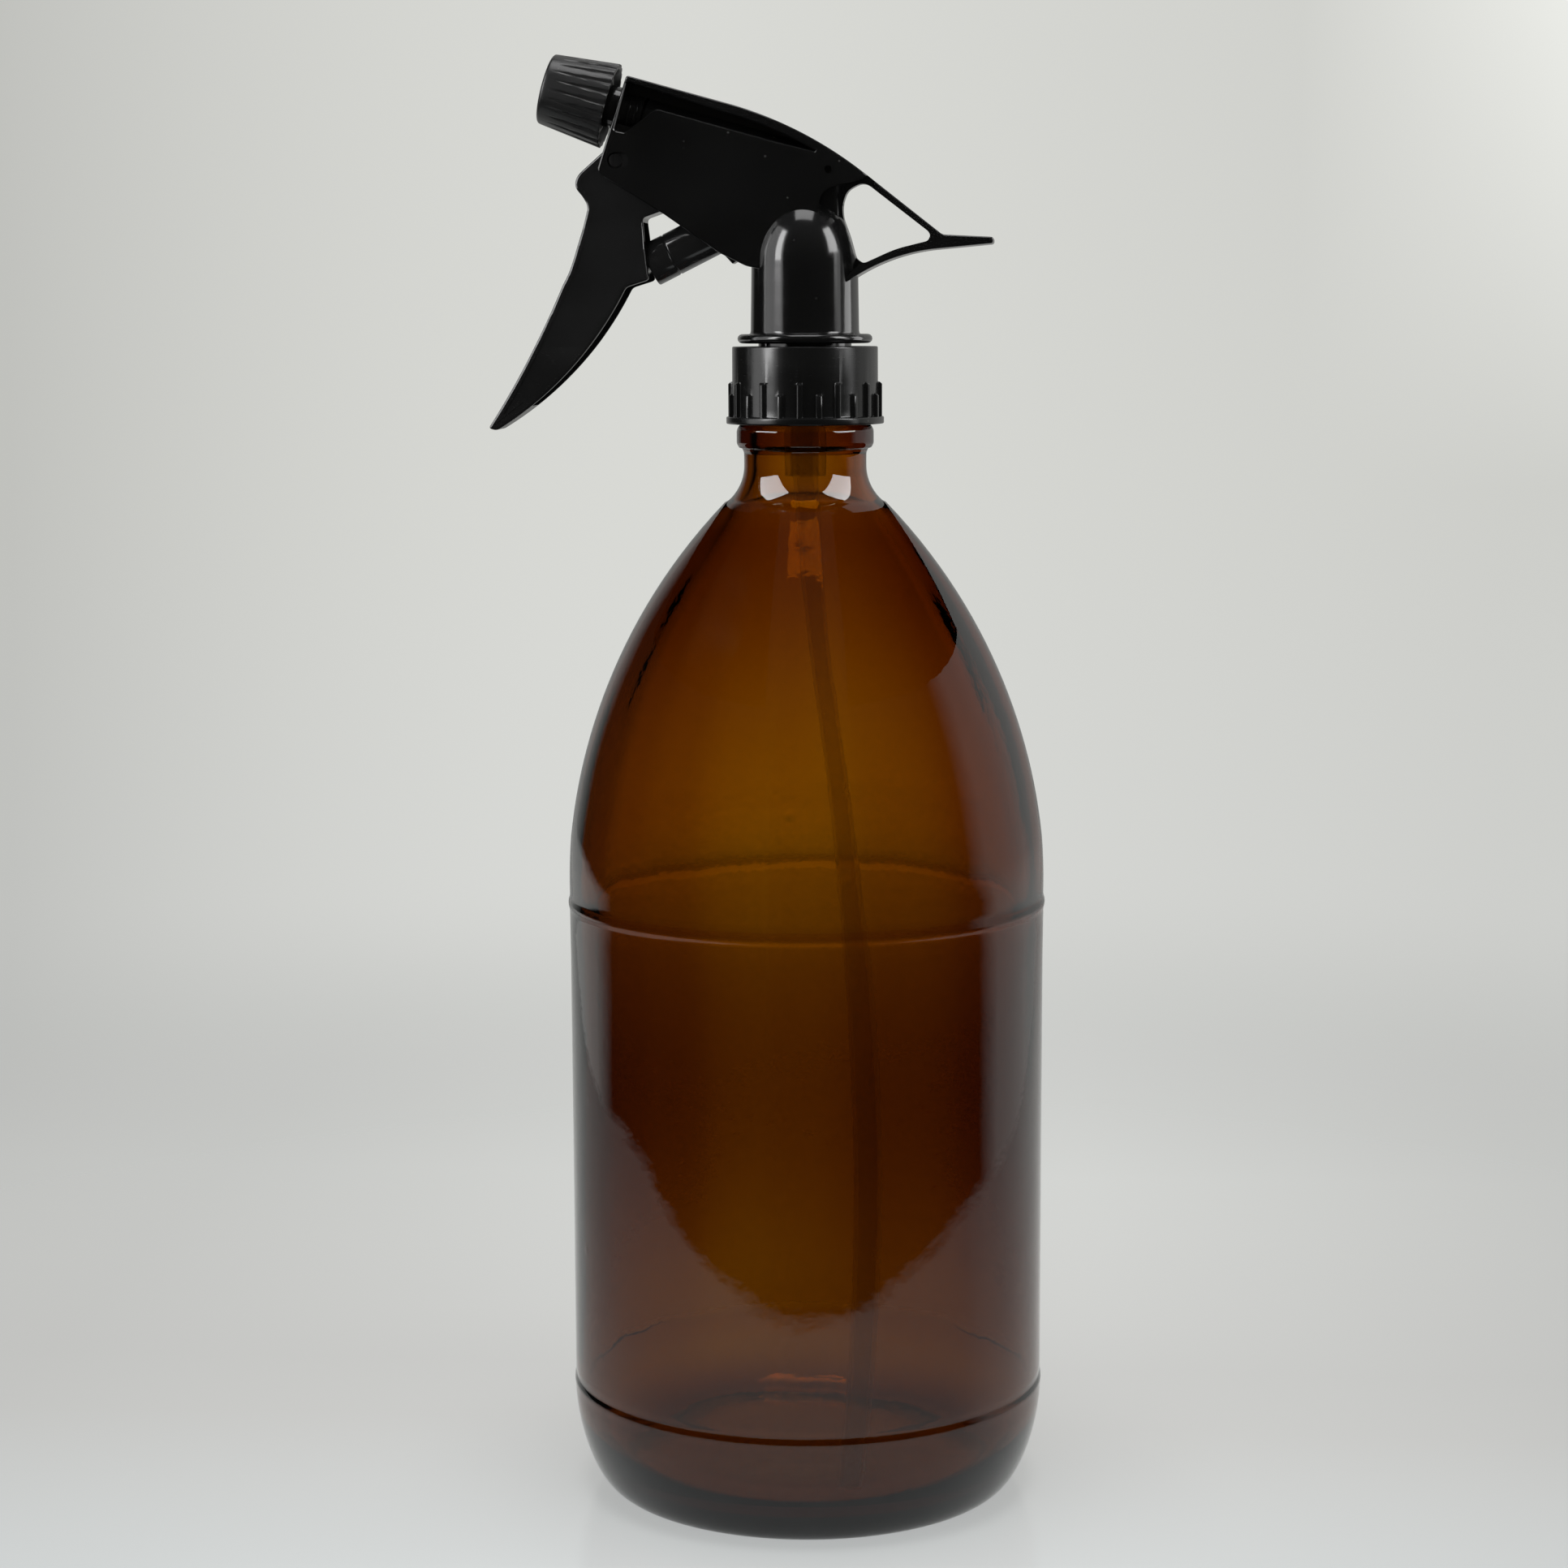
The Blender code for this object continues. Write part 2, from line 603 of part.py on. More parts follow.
def trigger_stations():
    """Front point, rear point and half width down the trigger."""
    head = [
        ((-38.2, 266.4), (-34.6, 267.0), TRIGGER_HEAD_HALF),
        ((-41.3, 263.4), (-32.4, 265.6), TRIGGER_HEAD_HALF),
        ((-44.1, 260.7), (-29.8, 261.4), TRIGGER_HEAD_HALF),
        ((-43.7, 258.4), (-27.6, 257.2), TRIGGER_HEAD_HALF),
        ((-41.9, 255.9), (-27.2, 254.6), TRIGGER_HEAD_HALF),
        ((-42.2, 254.4), (-31.2, 253.2), TRIGGER_HEAD_HALF),
        ((-42.8, 251.8), (-31.0, 250.6), TRIGGER_HEAD_HALF),
        ((-43.8, 248.0), (-30.6, 247.0), TRIGGER_BLADE_HALF),
        ((-45.4, 243.0), (-29.9, 241.3), TRIGGER_BLADE_HALF),
        ((-46.0, 241.6), (-34.2, 240.3), TRIGGER_BLADE_HALF),
    ]
    front = arc((-46.9, 240.2), 246.5, 170.0, -10.6, 6)
    rear = arc((-34.4, 239.9), 243.0, 68.0, -32.5, 6)
    halves = [TRIGGER_BLADE_HALF] * 3 + [5.7, 5.3, 4.9, TRIGGER_TIP_HALF]
    return head + list(zip(front, rear, halves))


def trigger_section(front, rear, half):
    (fx, fz), (rx, rz) = front, rear
    return [(fx, -half, fz), (rx, -half, rz), (rx, half, rz), (fx, half, fz)]


def trigger_hollow(stations):
    """Inside of the trigger's channel, open to the rear."""
    sections = []
    for front, rear, half in stations:
        along = (Vector(rear) - Vector(front)).normalized()
        sections.append(trigger_section(Vector(front) + along * TRIGGER_FRONT_WALL,
                                        Vector(rear) + along * 2.0, half - TRIGGER_WALL))
    return loft("trigger_hollow", sections, triangles=True)


def trigger_lever(mat):
    stations = trigger_stations()
    lever = loft("trigger_lever", [trigger_section(*station) for station in stations], triangles=True)
    nose = pump_place(PISTON_S[0] - FIT - NOSE_R)
    reach = Vector((0.0, TRIGGER_BLADE_HALF - 0.4, 0.0))
    combine(lever, "DIFFERENCE", trigger_hollow(stations[5:-2]))
    pivot = Vector((PIVOT[0], 0.0, PIVOT[1]))
    stud = Vector((0.0, CHEEK_Y - 0.1, 0.0))
    combine(lever, "UNION",
            rod("pusher_nose", NOSE_R, nose - reach, nose + reach, 16),
            rod("studs", STUD_R, pivot - stud, pivot + stud, 16))
    return finish(lever, mat, origin=tuple(pivot))


def piston(mat):
    low, high = PISTON_S
    groove = PISTON_GROOVE_S
    profile = [
        (0.0, low), (PISTON_R - 0.3, low), (PISTON_R, low + 0.3), (PISTON_R, groove - 0.2),
        (PISTON_R - 0.25, groove), (PISTON_R, groove + 0.2), (PISTON_R, PISTON_TAIL_S),
        (PISTON_TAIL_R, PISTON_TAIL_S), (PISTON_TAIL_R, high), (PISTON_BORE, high),
        (PISTON_BORE, PISTON_BORE_S), (0.0, PISTON_BORE_S),
    ]
    shaft = turned("piston", profile, 24)
    return aim(finish(shaft, mat), pump_place(0.0), PUMP_DIR)


def piston_seal(mat):
    """Soft cup ring with a lip at each end."""
    inner, outer = SEAL_R
    low, high = SEAL_S
    waist = outer - 0.25
    profile = [(inner, low), (outer, low), (waist, low + 0.9), (waist, high - 0.9), (outer, high), (inner, high)]
    return aim(finish(turned("piston_seal", profile, 24), mat), pump_place(0.0), PUMP_DIR)


def return_spring(mat):
    spring = coil("return_spring", 2.5, 0.4, (PISTON_BORE_S + FIT, CYLINDER_S[1] - 1.2 - FIT), 7, per_turn=10, sides=5)
    return aim(finish(spring, mat), pump_place(0.0), PUMP_DIR)


# ---------------------------------------------------------------- valves and nozzle

def inlet_ball(mat):
    obj = finish(ball("inlet_ball", INLET_BALL_R), mat)
    obj.location = Vector((0.0, 0.0, INLET_BALL_Z)) * MM
    return obj


def outlet_ball(mat):
    obj = finish(ball("outlet_ball", OUTLET_BALL_R), mat)
    obj.location = nozzle_place(VALVE_SEAT_U + 1.7) * MM
    return obj


def outlet_spring(mat):
    spring = coil("outlet_spring", 1.7, 0.28, (VALVE_SEAT_U + 3.9, 2.6), 5, per_turn=10, sides=5)
    return aim(finish(spring, mat), nozzle_place(0.0), SPRAY_DIR)


def swirl_core(mat):
    """Plug in the spigot whose head spins the liquid behind the orifice."""
    head = SPIGOT_U + FIT
    profile = [(0.0, 2.9), (VALVE_BORE - FIT, 2.9), (VALVE_BORE - FIT, head), (3.8, head),
               (3.8, head + 1.0), (0.0, head + 1.0)]
    core = turned("swirl_core", profile, 20)
    return aim(finish(core, mat), nozzle_place(0.0), SPRAY_DIR)


def nozzle_gasket(mat):
    low = SPIGOT_U + 2 * FIT + 1.0
    ring = turned("nozzle_gasket", [(0.9, low), (4.4, low), (4.4, low + 1.0), (0.9, low + 1.0)], 20)
    return aim(finish(ring, mat), nozzle_place(0.0), SPRAY_DIR)


def spigot_o_ring(mat):
    """Keeps the adjustable cap tight on the spigot at any setting."""
    centre_r = GROOVE_R + 0.2 + O_RING_WIRE
    centre_u = sum(GROOVE_U) / 2
    angles = [2 * pi * k / 8 for k in range(8)]
    profile = [(centre_r + O_RING_WIRE * cos(a), centre_u + O_RING_WIRE * sin(a)) for a in angles]
    return aim(finish(turned("spigot_o_ring", profile, 20), mat), nozzle_place(0.0), SPRAY_DIR)


def nozzle_cap(mat):
    """Tapered cap: outer skirt, inner threaded sleeve and a fine orifice."""
    rear, front = NOZZLE_U
    rear_r, front_r = NOZZLE_R
    floor = SPIGOT_U + 3 * FIT + 2.0
    hollow_end = 9.0
    slope = (front_r - rear_r) / (front - rear)
    skirt_inner = rear_r + slope * (hollow_end - rear) - NOZZLE_WALL
    profile = [
        (rear_r - NOZZLE_WALL, rear), (rear_r, rear), (front_r, front - 0.4), (front_r - 0.4, front),
        (1.6, front), (ORIFICE_R, front - 0.7), (ORIFICE_R, floor), (SLEEVE_BORE, floor),
        (SLEEVE_BORE, rear + 0.9), (SLEEVE_R, rear + 0.9), (SLEEVE_R, hollow_end), (skirt_inner, hollow_end),
    ]
    cap = turned("nozzle_cap", profile, 28)
    ridge = helix_ridge("cap_thread", SLEEVE_BORE + 0.2, SPIGOT_R + 0.25, NOZZLE_PITCH,
                        SPIGOT_THREAD_U + NOZZLE_PITCH / 2, (0.0, 1.5 * pi), (0.5, 0.2), per_turn=16)
    combine(cap, "UNION", ridge)
    return aim(finish(cap, mat), nozzle_place(0.0), SPRAY_DIR)


def build():
    clear_scene()
    amber = material("amber_glass", (0.30, 0.11, 0.01), 0.05, alpha=0.55)
    black = material("black_polypropylene", (0.012, 0.012, 0.013), 0.22)
    nozzle_black = material("nozzle_plastic", (0.02, 0.02, 0.021), 0.35)
    natural = material("natural_plastic", (0.75, 0.75, 0.72), 0.35)
    rubber = material("seal_rubber", (0.06, 0.06, 0.06), 0.7)
    steel = material("spring_steel", (0.62, 0.62, 0.64), 0.25, metallic=1.0)
    clear = material("tube_plastic", (0.72, 0.70, 0.66), 0.2)
    glass_bottle(amber)
    screw_collar(black)
    neck_gasket(rubber)
    inlet_stem(natural)
    dip_tube(clear)
    inlet_ball(steel)
    sprayer_body(black)
    trigger_lever(black)
    piston(black)
    piston_seal(natural)
    return_spring(steel)
    outlet_ball(steel)
    outlet_spring(steel)
    swirl_core(natural)
    nozzle_gasket(rubber)
    spigot_o_ring(rubber)
    nozzle_cap(nozzle_black)


build()
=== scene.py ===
from math import atan2, cos, exp, pi, radians, sin, sqrt

import bmesh
import bpy
from mathutils import Matrix, Vector


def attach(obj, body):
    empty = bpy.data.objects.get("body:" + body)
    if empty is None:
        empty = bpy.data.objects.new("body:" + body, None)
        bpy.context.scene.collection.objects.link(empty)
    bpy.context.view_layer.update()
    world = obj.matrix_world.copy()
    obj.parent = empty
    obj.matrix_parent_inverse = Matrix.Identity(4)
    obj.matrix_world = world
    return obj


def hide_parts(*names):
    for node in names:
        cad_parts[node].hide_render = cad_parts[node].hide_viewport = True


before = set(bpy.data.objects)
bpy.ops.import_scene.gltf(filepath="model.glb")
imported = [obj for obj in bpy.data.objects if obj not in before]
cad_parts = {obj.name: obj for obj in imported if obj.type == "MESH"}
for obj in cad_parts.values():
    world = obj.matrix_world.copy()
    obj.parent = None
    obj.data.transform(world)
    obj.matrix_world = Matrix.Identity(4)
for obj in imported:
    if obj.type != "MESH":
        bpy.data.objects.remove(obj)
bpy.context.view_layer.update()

# Lengths are in millimetres until an object is made, which is in metres.
MM = 0.001

# Bottle
BOTTLE_R = 47.5
PANEL_R = 47.25
HEEL = (8.0, 20.5)              # width and height of the heel's curve
HEEL_POWER = 1.18
STEP_Z = 120.0
SHOULDER_R = 112.0
SHOULDER_END_Z = 198.6
FILLET_Z = 205.3
FILLET_R = 9.2
NECK_R = 12.0
BEAD_R = 13.45
BEAD_Z = (208.7, 213.1)
FINISH_R = 12.3
LIP_Z = 223.9
BORE_R = 9.6
FLOOR_Z = 5.0
THREAD_PITCH = 4.0
THREAD_START_Z = 215.8
THREAD_TURNS = 1.5
THREAD_HALVES = (1.0, 0.4)      # half widths at the root and the crest

# Screw collar
COLLAR_Z = (213.4, 228.4)
COLLAR_R = 14.25
COLLAR_BORE = 13.5
COLLAR_HOLE = 9.4
COLLAR_FLANGE_R = 15.45
COLLAR_RIBS = 24
COLLAR_RIB_R = 15.1
COLLAR_RIB_TOP = (221.6, 219.4)
COLLAR_TOP = COLLAR_Z[1] * MM

# Post and disc
DISC_Z = (229.0, 230.8)
DISC_R = 13.2
POST_NECK_R = 9.1
POST_FOOT_R = 10.6
POST_R = 10.4
POST_TOP_Z = 244.0
DOME_Z = 244.8
DOME_RISE = 12.4
POST_BORE = 7.4
POST_BORE_TOP = 243.8

# Head
CHEEK_Y = 6.4
WALL = 1.3
FLANGE_T = 1.8
SPRAY_ANGLE = 15.6
PLATE_CENTRE = (-36.4, 274.4)
RIDGE_START = (-33.9, 280.3)
RIDGE_STRAIGHT = 20.0
RIDGE_R = 76.6
RIDGE_TURN = 22.6
TAIL_FORK = (27.0, 249.7)
TAIL_TIP_X = 36.8
TAIL_TIP_Z = (248.0, 249.2)
TAIL_ROOT = (9.0, 241.0)
TAIL_ARC_R = 36.0
TAIL_ARC_HEADINGS = (34.0, 5.0)

# Pump and trigger
PUMP_POINT = (-29.2, 244.7)
PUMP_ANGLE = 26.5
CYLINDER_R = 5.9
CYLINDER_BORE = 4.75
CYLINDER_S = (13.4, 29.0)
PISTON_R = 4.25
PISTON_S = (-1.2, 20.0)
PIVOT = (-36.2, 264.2)
STUD_R = 1.25
NOSE_R = 1.6
HEAD_HALF = 4.8
BLADE_HALF = 6.0
TIP_HALF = 4.6
TRIGGER_WIDTHS = (              # heights and the half widths there
    (205.0, TIP_HALF), (213.0, TIP_HALF), (229.0, BLADE_HALF), (248.0, BLADE_HALF), (251.8, HEAD_HALF),
)

# Outlet and nozzle
TUBE_R = 3.3
VALVE_BORE = 2.4
SPIGOT_R = 4.1
SPIGOT_U = 9.5
GROOVE_U = (2.0, 3.4)
NOZZLE_PITCH = 2.5
NOZZLE_U = (1.5, 14.6)
NOZZLE_R = (8.3, 6.8)
NOZZLE_FLUTES = 24
SLEEVE = (4.9, 5.75)

# Dip tube
TUBE_OUTER = 2.4
TUBE_INNER = 1.6
TUBE_ROUTE = (
    (0.0, 0.0, 222.0), (0.0, 0.0, 203.0), (2.6, -1.6, 172.0), (7.6, -4.6, 140.0),
    (11.6, -10.0, 105.0), (13.4, -17.4, 70.0), (12.8, -25.2, 35.0), (10.4, -32.6, 7.5),
)

SPRAY_DIR = Vector((-cos(radians(SPRAY_ANGLE)), 0.0, sin(radians(SPRAY_ANGLE))))
PLATE_DIR = Vector((sin(radians(SPRAY_ANGLE)), 0.0, cos(radians(SPRAY_ANGLE))))
PUMP_DIR = Vector((cos(radians(PUMP_ANGLE)), 0.0, sin(radians(PUMP_ANGLE))))


# ---------------------------------------------------------------- mesh helpers

def new_object(name, bm):
    bmesh.ops.scale(bm, vec=(MM, MM, MM), verts=bm.verts)
    bmesh.ops.recalc_face_normals(bm, faces=bm.faces)
    mesh = bpy.data.meshes.new(name)
    bm.to_mesh(mesh)
    bm.free()
    obj = bpy.data.objects.new(name, mesh)
    bpy.context.scene.collection.objects.link(obj)
    return obj


def loft(name, sections, closed=False, triangles=False):
    """Skin equal rings of points; the ends are capped unless the loft closes."""
    bm = bmesh.new()
    rings = [[bm.verts.new(p) for p in section] for section in sections]
    pairs = list(zip(rings, rings[1:]))
    if closed:
        pairs.append((rings[-1], rings[0]))
    for low, high in pairs:
        for i, _ in enumerate(low):
            j = (i + 1) % len(low)
            bm.faces.new((low[i], low[j], high[j], high[i]))
    if not closed:
        bm.faces.new(rings[0])
        bm.faces.new(rings[-1])
    if triangles:
        bmesh.ops.triangulate(bm, faces=bm.faces)
    return new_object(name, bm)


def even_angles(count):
    return [2 * pi * k / count for k in range(count)]


def turned(name, profile, angles, shape=None):
    """Revolve a closed outline of (radius, height) points; shape may move a radius."""
    bm = bmesh.new()
    rings = []
    for radius, height in profile:
        if radius == 0.0:
            rings.append([bm.verts.new((0.0, 0.0, height))] * len(angles))
            continue
        ring = []
        for a in angles:
            r = shape(radius, height, a) if shape else radius
            ring.append(bm.verts.new((r * cos(a), r * sin(a), height)))
        rings.append(ring)
    for low, high in zip(rings, rings[1:] + rings[:1]):
        for i, _ in enumerate(angles):
            j = (i + 1) % len(angles)
            corners = list(dict.fromkeys((low[i], low[j], high[j], high[i])))
            if len(corners) > 2:
                bm.faces.new(corners)
    return new_object(name, bm)


def rounded(outline, radius, steps=3):
    """Round the corners of a closed outline; short legs get a smaller radius."""
    points = [Vector(p) for p in outline]
    result = []
    for k, corner in enumerate(points):
        before, after = points[k - 1] - corner, points[(k + 1) % len(points)] - corner
        if corner[0] == 0.0 or before.length < 1e-6 or after.length < 1e-6:
            result.append(tuple(corner))
            continue
        if before.angle(after) > radians(172):
            result.append(tuple(corner))
            continue
        reach = min(radius, 0.45 * before.length, 0.45 * after.length)
        start, end = corner + before.normalized() * reach, corner + after.normalized() * reach
        for m in range(steps + 1):
            t = m / steps
            result.append(tuple(start * (1 - t) ** 2 + corner * (2 * t * (1 - t)) + end * t ** 2))
    return result


def prism(name, outline, y_low, y_high):
    return loft(name, [[(x, y, z) for x, z in outline] for y in (y_low, y_high)])


def inset_outline(outline, distance):
    """Move every edge of a closed outline inwards."""
    points = [Vector(p) for p in outline]
    points = [p for k, p in enumerate(points) if (p - points[k - 1]).length > 1e-4]
    area = sum(a.x * b.y - b.x * a.y for a, b in zip(points, points[1:] + points[:1]))
    inwards = 1.0 if area > 0 else -1.0
    result = []
    for k, point in enumerate(points):
        before = (point - points[k - 1]).normalized()
        after = (points[(k + 1) % len(points)] - point).normalized()
        middle = (before + after).normalized()
        normal = Vector((-middle.y, middle.x)) * inwards
        stretch = max(0.5, normal.dot(Vector((-after.y, after.x)) * inwards))
        result.append(tuple(point + normal * distance / stretch))
    return result


def rounded_prism(name, outline, half, radius, steps=4):
    """Prism across Y whose long edges are rounded."""
    levels = []
    for k in range(steps + 1):
        a = pi / 2 * k / steps
        levels.append((half - radius * (1 - sin(a)), radius * (1 - cos(a))))
    sections = []
    for y, inset in sorted([(-y, inset) for y, inset in levels] + levels):
        sections.append([(x, y, z) for x, z in inset_outline(outline, inset)])
    return loft(name, sections)


def flared_tool(name, outline, side, inner, surface, flare):
    """Cutting tool through a side wall that also chamfers the rim of its opening."""
    levels = [(inner, 0.0), (surface - flare, 0.0), (surface + 0.01, -flare), (surface + 2.0, -flare)]
    sections = []
    for y, inset in levels:
        sections.append([(x, side * y, z) for x, z in inset_outline(outline, inset)])
    return loft(name, sections)


def rod(name, radius, start, end, segments=48):
    start, end = Vector(start), Vector(end)
    turn = (end - start).to_track_quat("Z", "Y").to_matrix().to_4x4()
    turn.translation = start
    length = (end - start).length
    ring = [Vector((radius * cos(a), radius * sin(a), 0.0)) for a in even_angles(segments)]
    return loft(name, [[turn @ (p + Vector((0, 0, h))) for p in ring] for h in (0.0, length)])


def helix_ridge(name, root_r, crest_r, pitch, start_z, turns, half_widths, first=0.0, per_turn=48):
    """Thread ridge: a trapezoid swept along a right-hand helix about Z."""
    steps = round(per_turn * turns)
    root_half, crest_half = half_widths
    corners = ((root_r, -root_half), (crest_r, -crest_half), (crest_r, crest_half), (root_r, root_half))
    sections = []
    for k in range(steps + 1):
        a = first + 2 * pi * turns * k / steps
        z = start_z + pitch * a / (2 * pi)
        sections.append([(r * cos(a), r * sin(a), z + dz) for r, dz in corners])
    return loft(name, sections)


def combine(target, operation, *tools, solver="EXACT"):
    for tool in tools:
        modifier = target.modifiers.new(tool.name, "BOOLEAN")
        modifier.solver = solver
        modifier.operation = operation
        modifier.object = tool
        apply_modifiers(target)
        bpy.data.objects.remove(tool, do_unlink=True)
    return target


def apply_modifiers(obj):
    evaluated = obj.evaluated_get(bpy.context.evaluated_depsgraph_get())
    mesh = bpy.data.meshes.new_from_object(evaluated)
    obj.modifiers.clear()
    obj.data = mesh
    return obj


def bevelled(obj, width, segments=2, angle=30.0):
    """Round the sharp edges, as a moulded part's are."""
    bevel = obj.modifiers.new("bevel", "BEVEL")
    bevel.width = width * MM
    bevel.segments = segments
    bevel.limit_method = "ANGLE"
    bevel.angle_limit = radians(angle)
    bevel.use_clamp_overlap = True
    return apply_modifiers(obj)


def clean(obj, flat_angle=0.5):
    """Join the small coplanar faces that Booleans leave."""
    bm = bmesh.new()
    bm.from_mesh(obj.data)
    bmesh.ops.remove_doubles(bm, verts=bm.verts, dist=0.00001)
    bmesh.ops.dissolve_limit(bm, angle_limit=radians(flat_angle), verts=bm.verts, edges=bm.edges)
    bm.to_mesh(obj.data)
    bm.free()
    return obj


def place(obj, origin, direction):
    """Turn a mesh made about Z so that Z lies along direction from origin."""
    side = Vector((0.0, 1.0, 0.0))
    along = Vector(direction).normalized()
    across = side.cross(along)
    turn = Matrix((across, side, along)).transposed().to_4x4()
    obj.data.transform(Matrix.Translation(Vector(origin) * MM) @ turn)
    return obj


def arc(start, heading, radius, turn, steps):
    """Points of an arc that leaves start at heading and turns by turn (degrees)."""
    side = 1.0 if turn > 0 else -1.0
    reach = side * radius
    x = start[0] - reach * sin(radians(heading))
    y = start[1] + reach * cos(radians(heading))
    angles = [radians(heading + turn * k / steps) for k in range(steps + 1)]
    return [(x + reach * sin(a), y - reach * cos(a)) for a in angles]


def smooth_route(points, per_leg):
    """Catmull-Rom curve through the points."""
    ends = [Vector(points[0]) * 2 - Vector(points[1])] + [Vector(p) for p in points]
    ends.append(ends[-1] * 2 - ends[-2])
    curve = []
    for a, b, c, d in zip(ends, ends[1:], ends[2:], ends[3:]):
        for k in range(per_leg):
            t = k / per_leg
            curve.append(0.5 * (2 * b + (c - a) * t + (2 * a - 5 * b + 4 * c - d) * t ** 2
                                + (3 * b - a - 3 * c + d) * t ** 3))
    return curve + [ends[-2]]


def on_plate(u, v):
    """(x, z) of a place u out of the front plate and v up along it."""
    spot = Vector((PLATE_CENTRE[0], 0.0, PLATE_CENTRE[1])) + SPRAY_DIR * u + PLATE_DIR * v
    return (spot.x, spot.z)


def nozzle_place(u):
    x, z = on_plate(u, 0.0)
    return Vector((x, 0.0, z))


def pump_place(s):
    return Vector((PUMP_POINT[0], 0.0, PUMP_POINT[1])) + PUMP_DIR * s


def shown(obj, mat, body, slot, *nodes, smooth_angle=32.0, flat_faces=False):
    """Finish a piece: material, shading, the body it rides on and what it stands for."""
    obj.data.materials.clear()
    obj.data.materials.append(mat)
    obj.data.shade_smooth()
    obj.data.set_sharp_from_angle(angle=radians(smooth_angle))
    if flat_faces:
        obj.modifiers.new("normals", "WEIGHTED_NORMAL").keep_sharp = True
        apply_modifiers(obj)
    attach(obj, body)
    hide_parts(*nodes)
    return obj


# ---------------------------------------------------------------- bottle

def shoulder_radius(z, inset=0.0):
    return BOTTLE_R - SHOULDER_R + sqrt((SHOULDER_R - inset) ** 2 - (z - STEP_Z) ** 2)


def neck_fillet(radius, steps):
    """Concave arc from the shoulder up to the neck."""
    centre_r = NECK_R + FILLET_R
    first = atan2(FILLET_Z - SHOULDER_END_Z, centre_r - shoulder_radius(SHOULDER_END_Z))
    angles = [first * (1 - k / steps) for k in range(steps + 1)]
    return [(centre_r - radius * cos(a), FILLET_Z - radius * sin(a)) for a in angles]


def heel(a, b, top_r, bottom_z, steps, power=1.0):
    """Quarter ellipse from the floor out to the wall; a power over 1 takes more off its corner."""
    curve = []
    for k in range(steps + 1):
        t = pi / 2 * k / steps
        curve.append((top_r - a + a * sin(t) ** power, bottom_z + b - b * cos(t) ** power))
    return curve


def heights(low, high, step):
    count = max(1, round((high - low) / step))
    return [low + (high - low) * k / count for k in range(count + 1)]


def bump_at(value, centre, width):
    return exp(-((value - centre) / width) ** 2)


def wall_thickness(z):
    """Blown glass: thin round the shoulder's foot, thick at the neck, waist and heel."""
    extra = 1.15 * bump_at(z, 80.0, 30.0) + 1.1 * bump_at(z, 196.0, 30.0) + 0.7 * bump_at(z, 14.0, 14.0)
    return 2.15 + extra


def outer_wall():
    """Outside of the bottle from the heel to the neck, with its two mould rings."""
    heel_ring = [
        (0.05, 20.9), (0.1, 21.3), (0.06, 21.9), (-0.22, 22.35), (-0.3, 22.7), (-0.18, 23.3), (-0.1, 24.5),
    ]
    step_ring = [(-0.03, 118.5), (0.0, 118.9), (-0.03, 119.4), (-0.2, 119.9), (-0.3, 120.6)]
    profile = heel(*HEEL, PANEL_R, 0.0, 20, HEEL_POWER)[:-1]
    profile += [(PANEL_R + out, z) for out, z in heel_ring]
    profile += [(PANEL_R - 0.1, z) for z in heights(28.0, 108.0, 8.0)]
    profile += [(PANEL_R - 0.04, 114.0), (PANEL_R, 117.4), (PANEL_R + 0.1, 118.1)]
    profile += [(BOTTLE_R + out, z) for out, z in step_ring]
    for z in heights(122.0, SHOULDER_END_Z - 0.6, 2.5):
        blend = min(1.0, (z - 120.0) / 12.0)
        profile.append((shoulder_radius(z) - 0.3 * (1 - blend), z))
    profile += neck_fillet(FILLET_R, 10)
    return profile


def inner_wall():
    """Inside of the bottle from the neck down to the floor."""
    profile = list(reversed(neck_fillet(FILLET_R + NECK_R - BORE_R, 8)))
    for z in reversed(heights(122.0, 190.0, 4.0)):
        profile.append((shoulder_radius(z, wall_thickness(z)), z))
    for z in reversed(heights(24.0, 118.0, 4.0)):
        profile.append((PANEL_R - wall_thickness(z), z))
    foot = heel(10.0, 13.5, PANEL_R - wall_thickness(20.0), FLOOR_Z, 12)
    profile += reversed(foot[:-1])
    profile += [(r, FLOOR_Z + 1.4 * (1 - (r / 34.0) ** 2)) for r in (28.0, 20.0, 12.0, 5.0)]
    return profile + [(0.0, FLOOR_Z + 1.4)]


def uneven_inside(radius, z, angle):
    """Slow waves of the inner wall, which is also thicker towards the sides in X."""
    outside = PANEL_R if z < 121.0 else shoulder_radius(min(z, 200.0))
    if BORE_R + 3.0 < radius < outside - 1.2 and z > 20.0:
        fade = min(1.0, (z - 20.0) / 20.0) * min(1.0, max(0.0, (198.0 - z) / 20.0))
        drift = z / 60.0
        wave = 0.16 * sin(3 * angle + 0.8 + drift) + 0.11 * sin(7 * angle + 2.1 - drift)
        wave += 0.05 * sin(13 * angle + 0.6 * drift) + 0.03 * sin(23 * angle + 1.7)
        wave -= 0.85 * cos(angle) ** 2 + 0.15 * cos(angle)
        return radius + wave * fade
    return radius


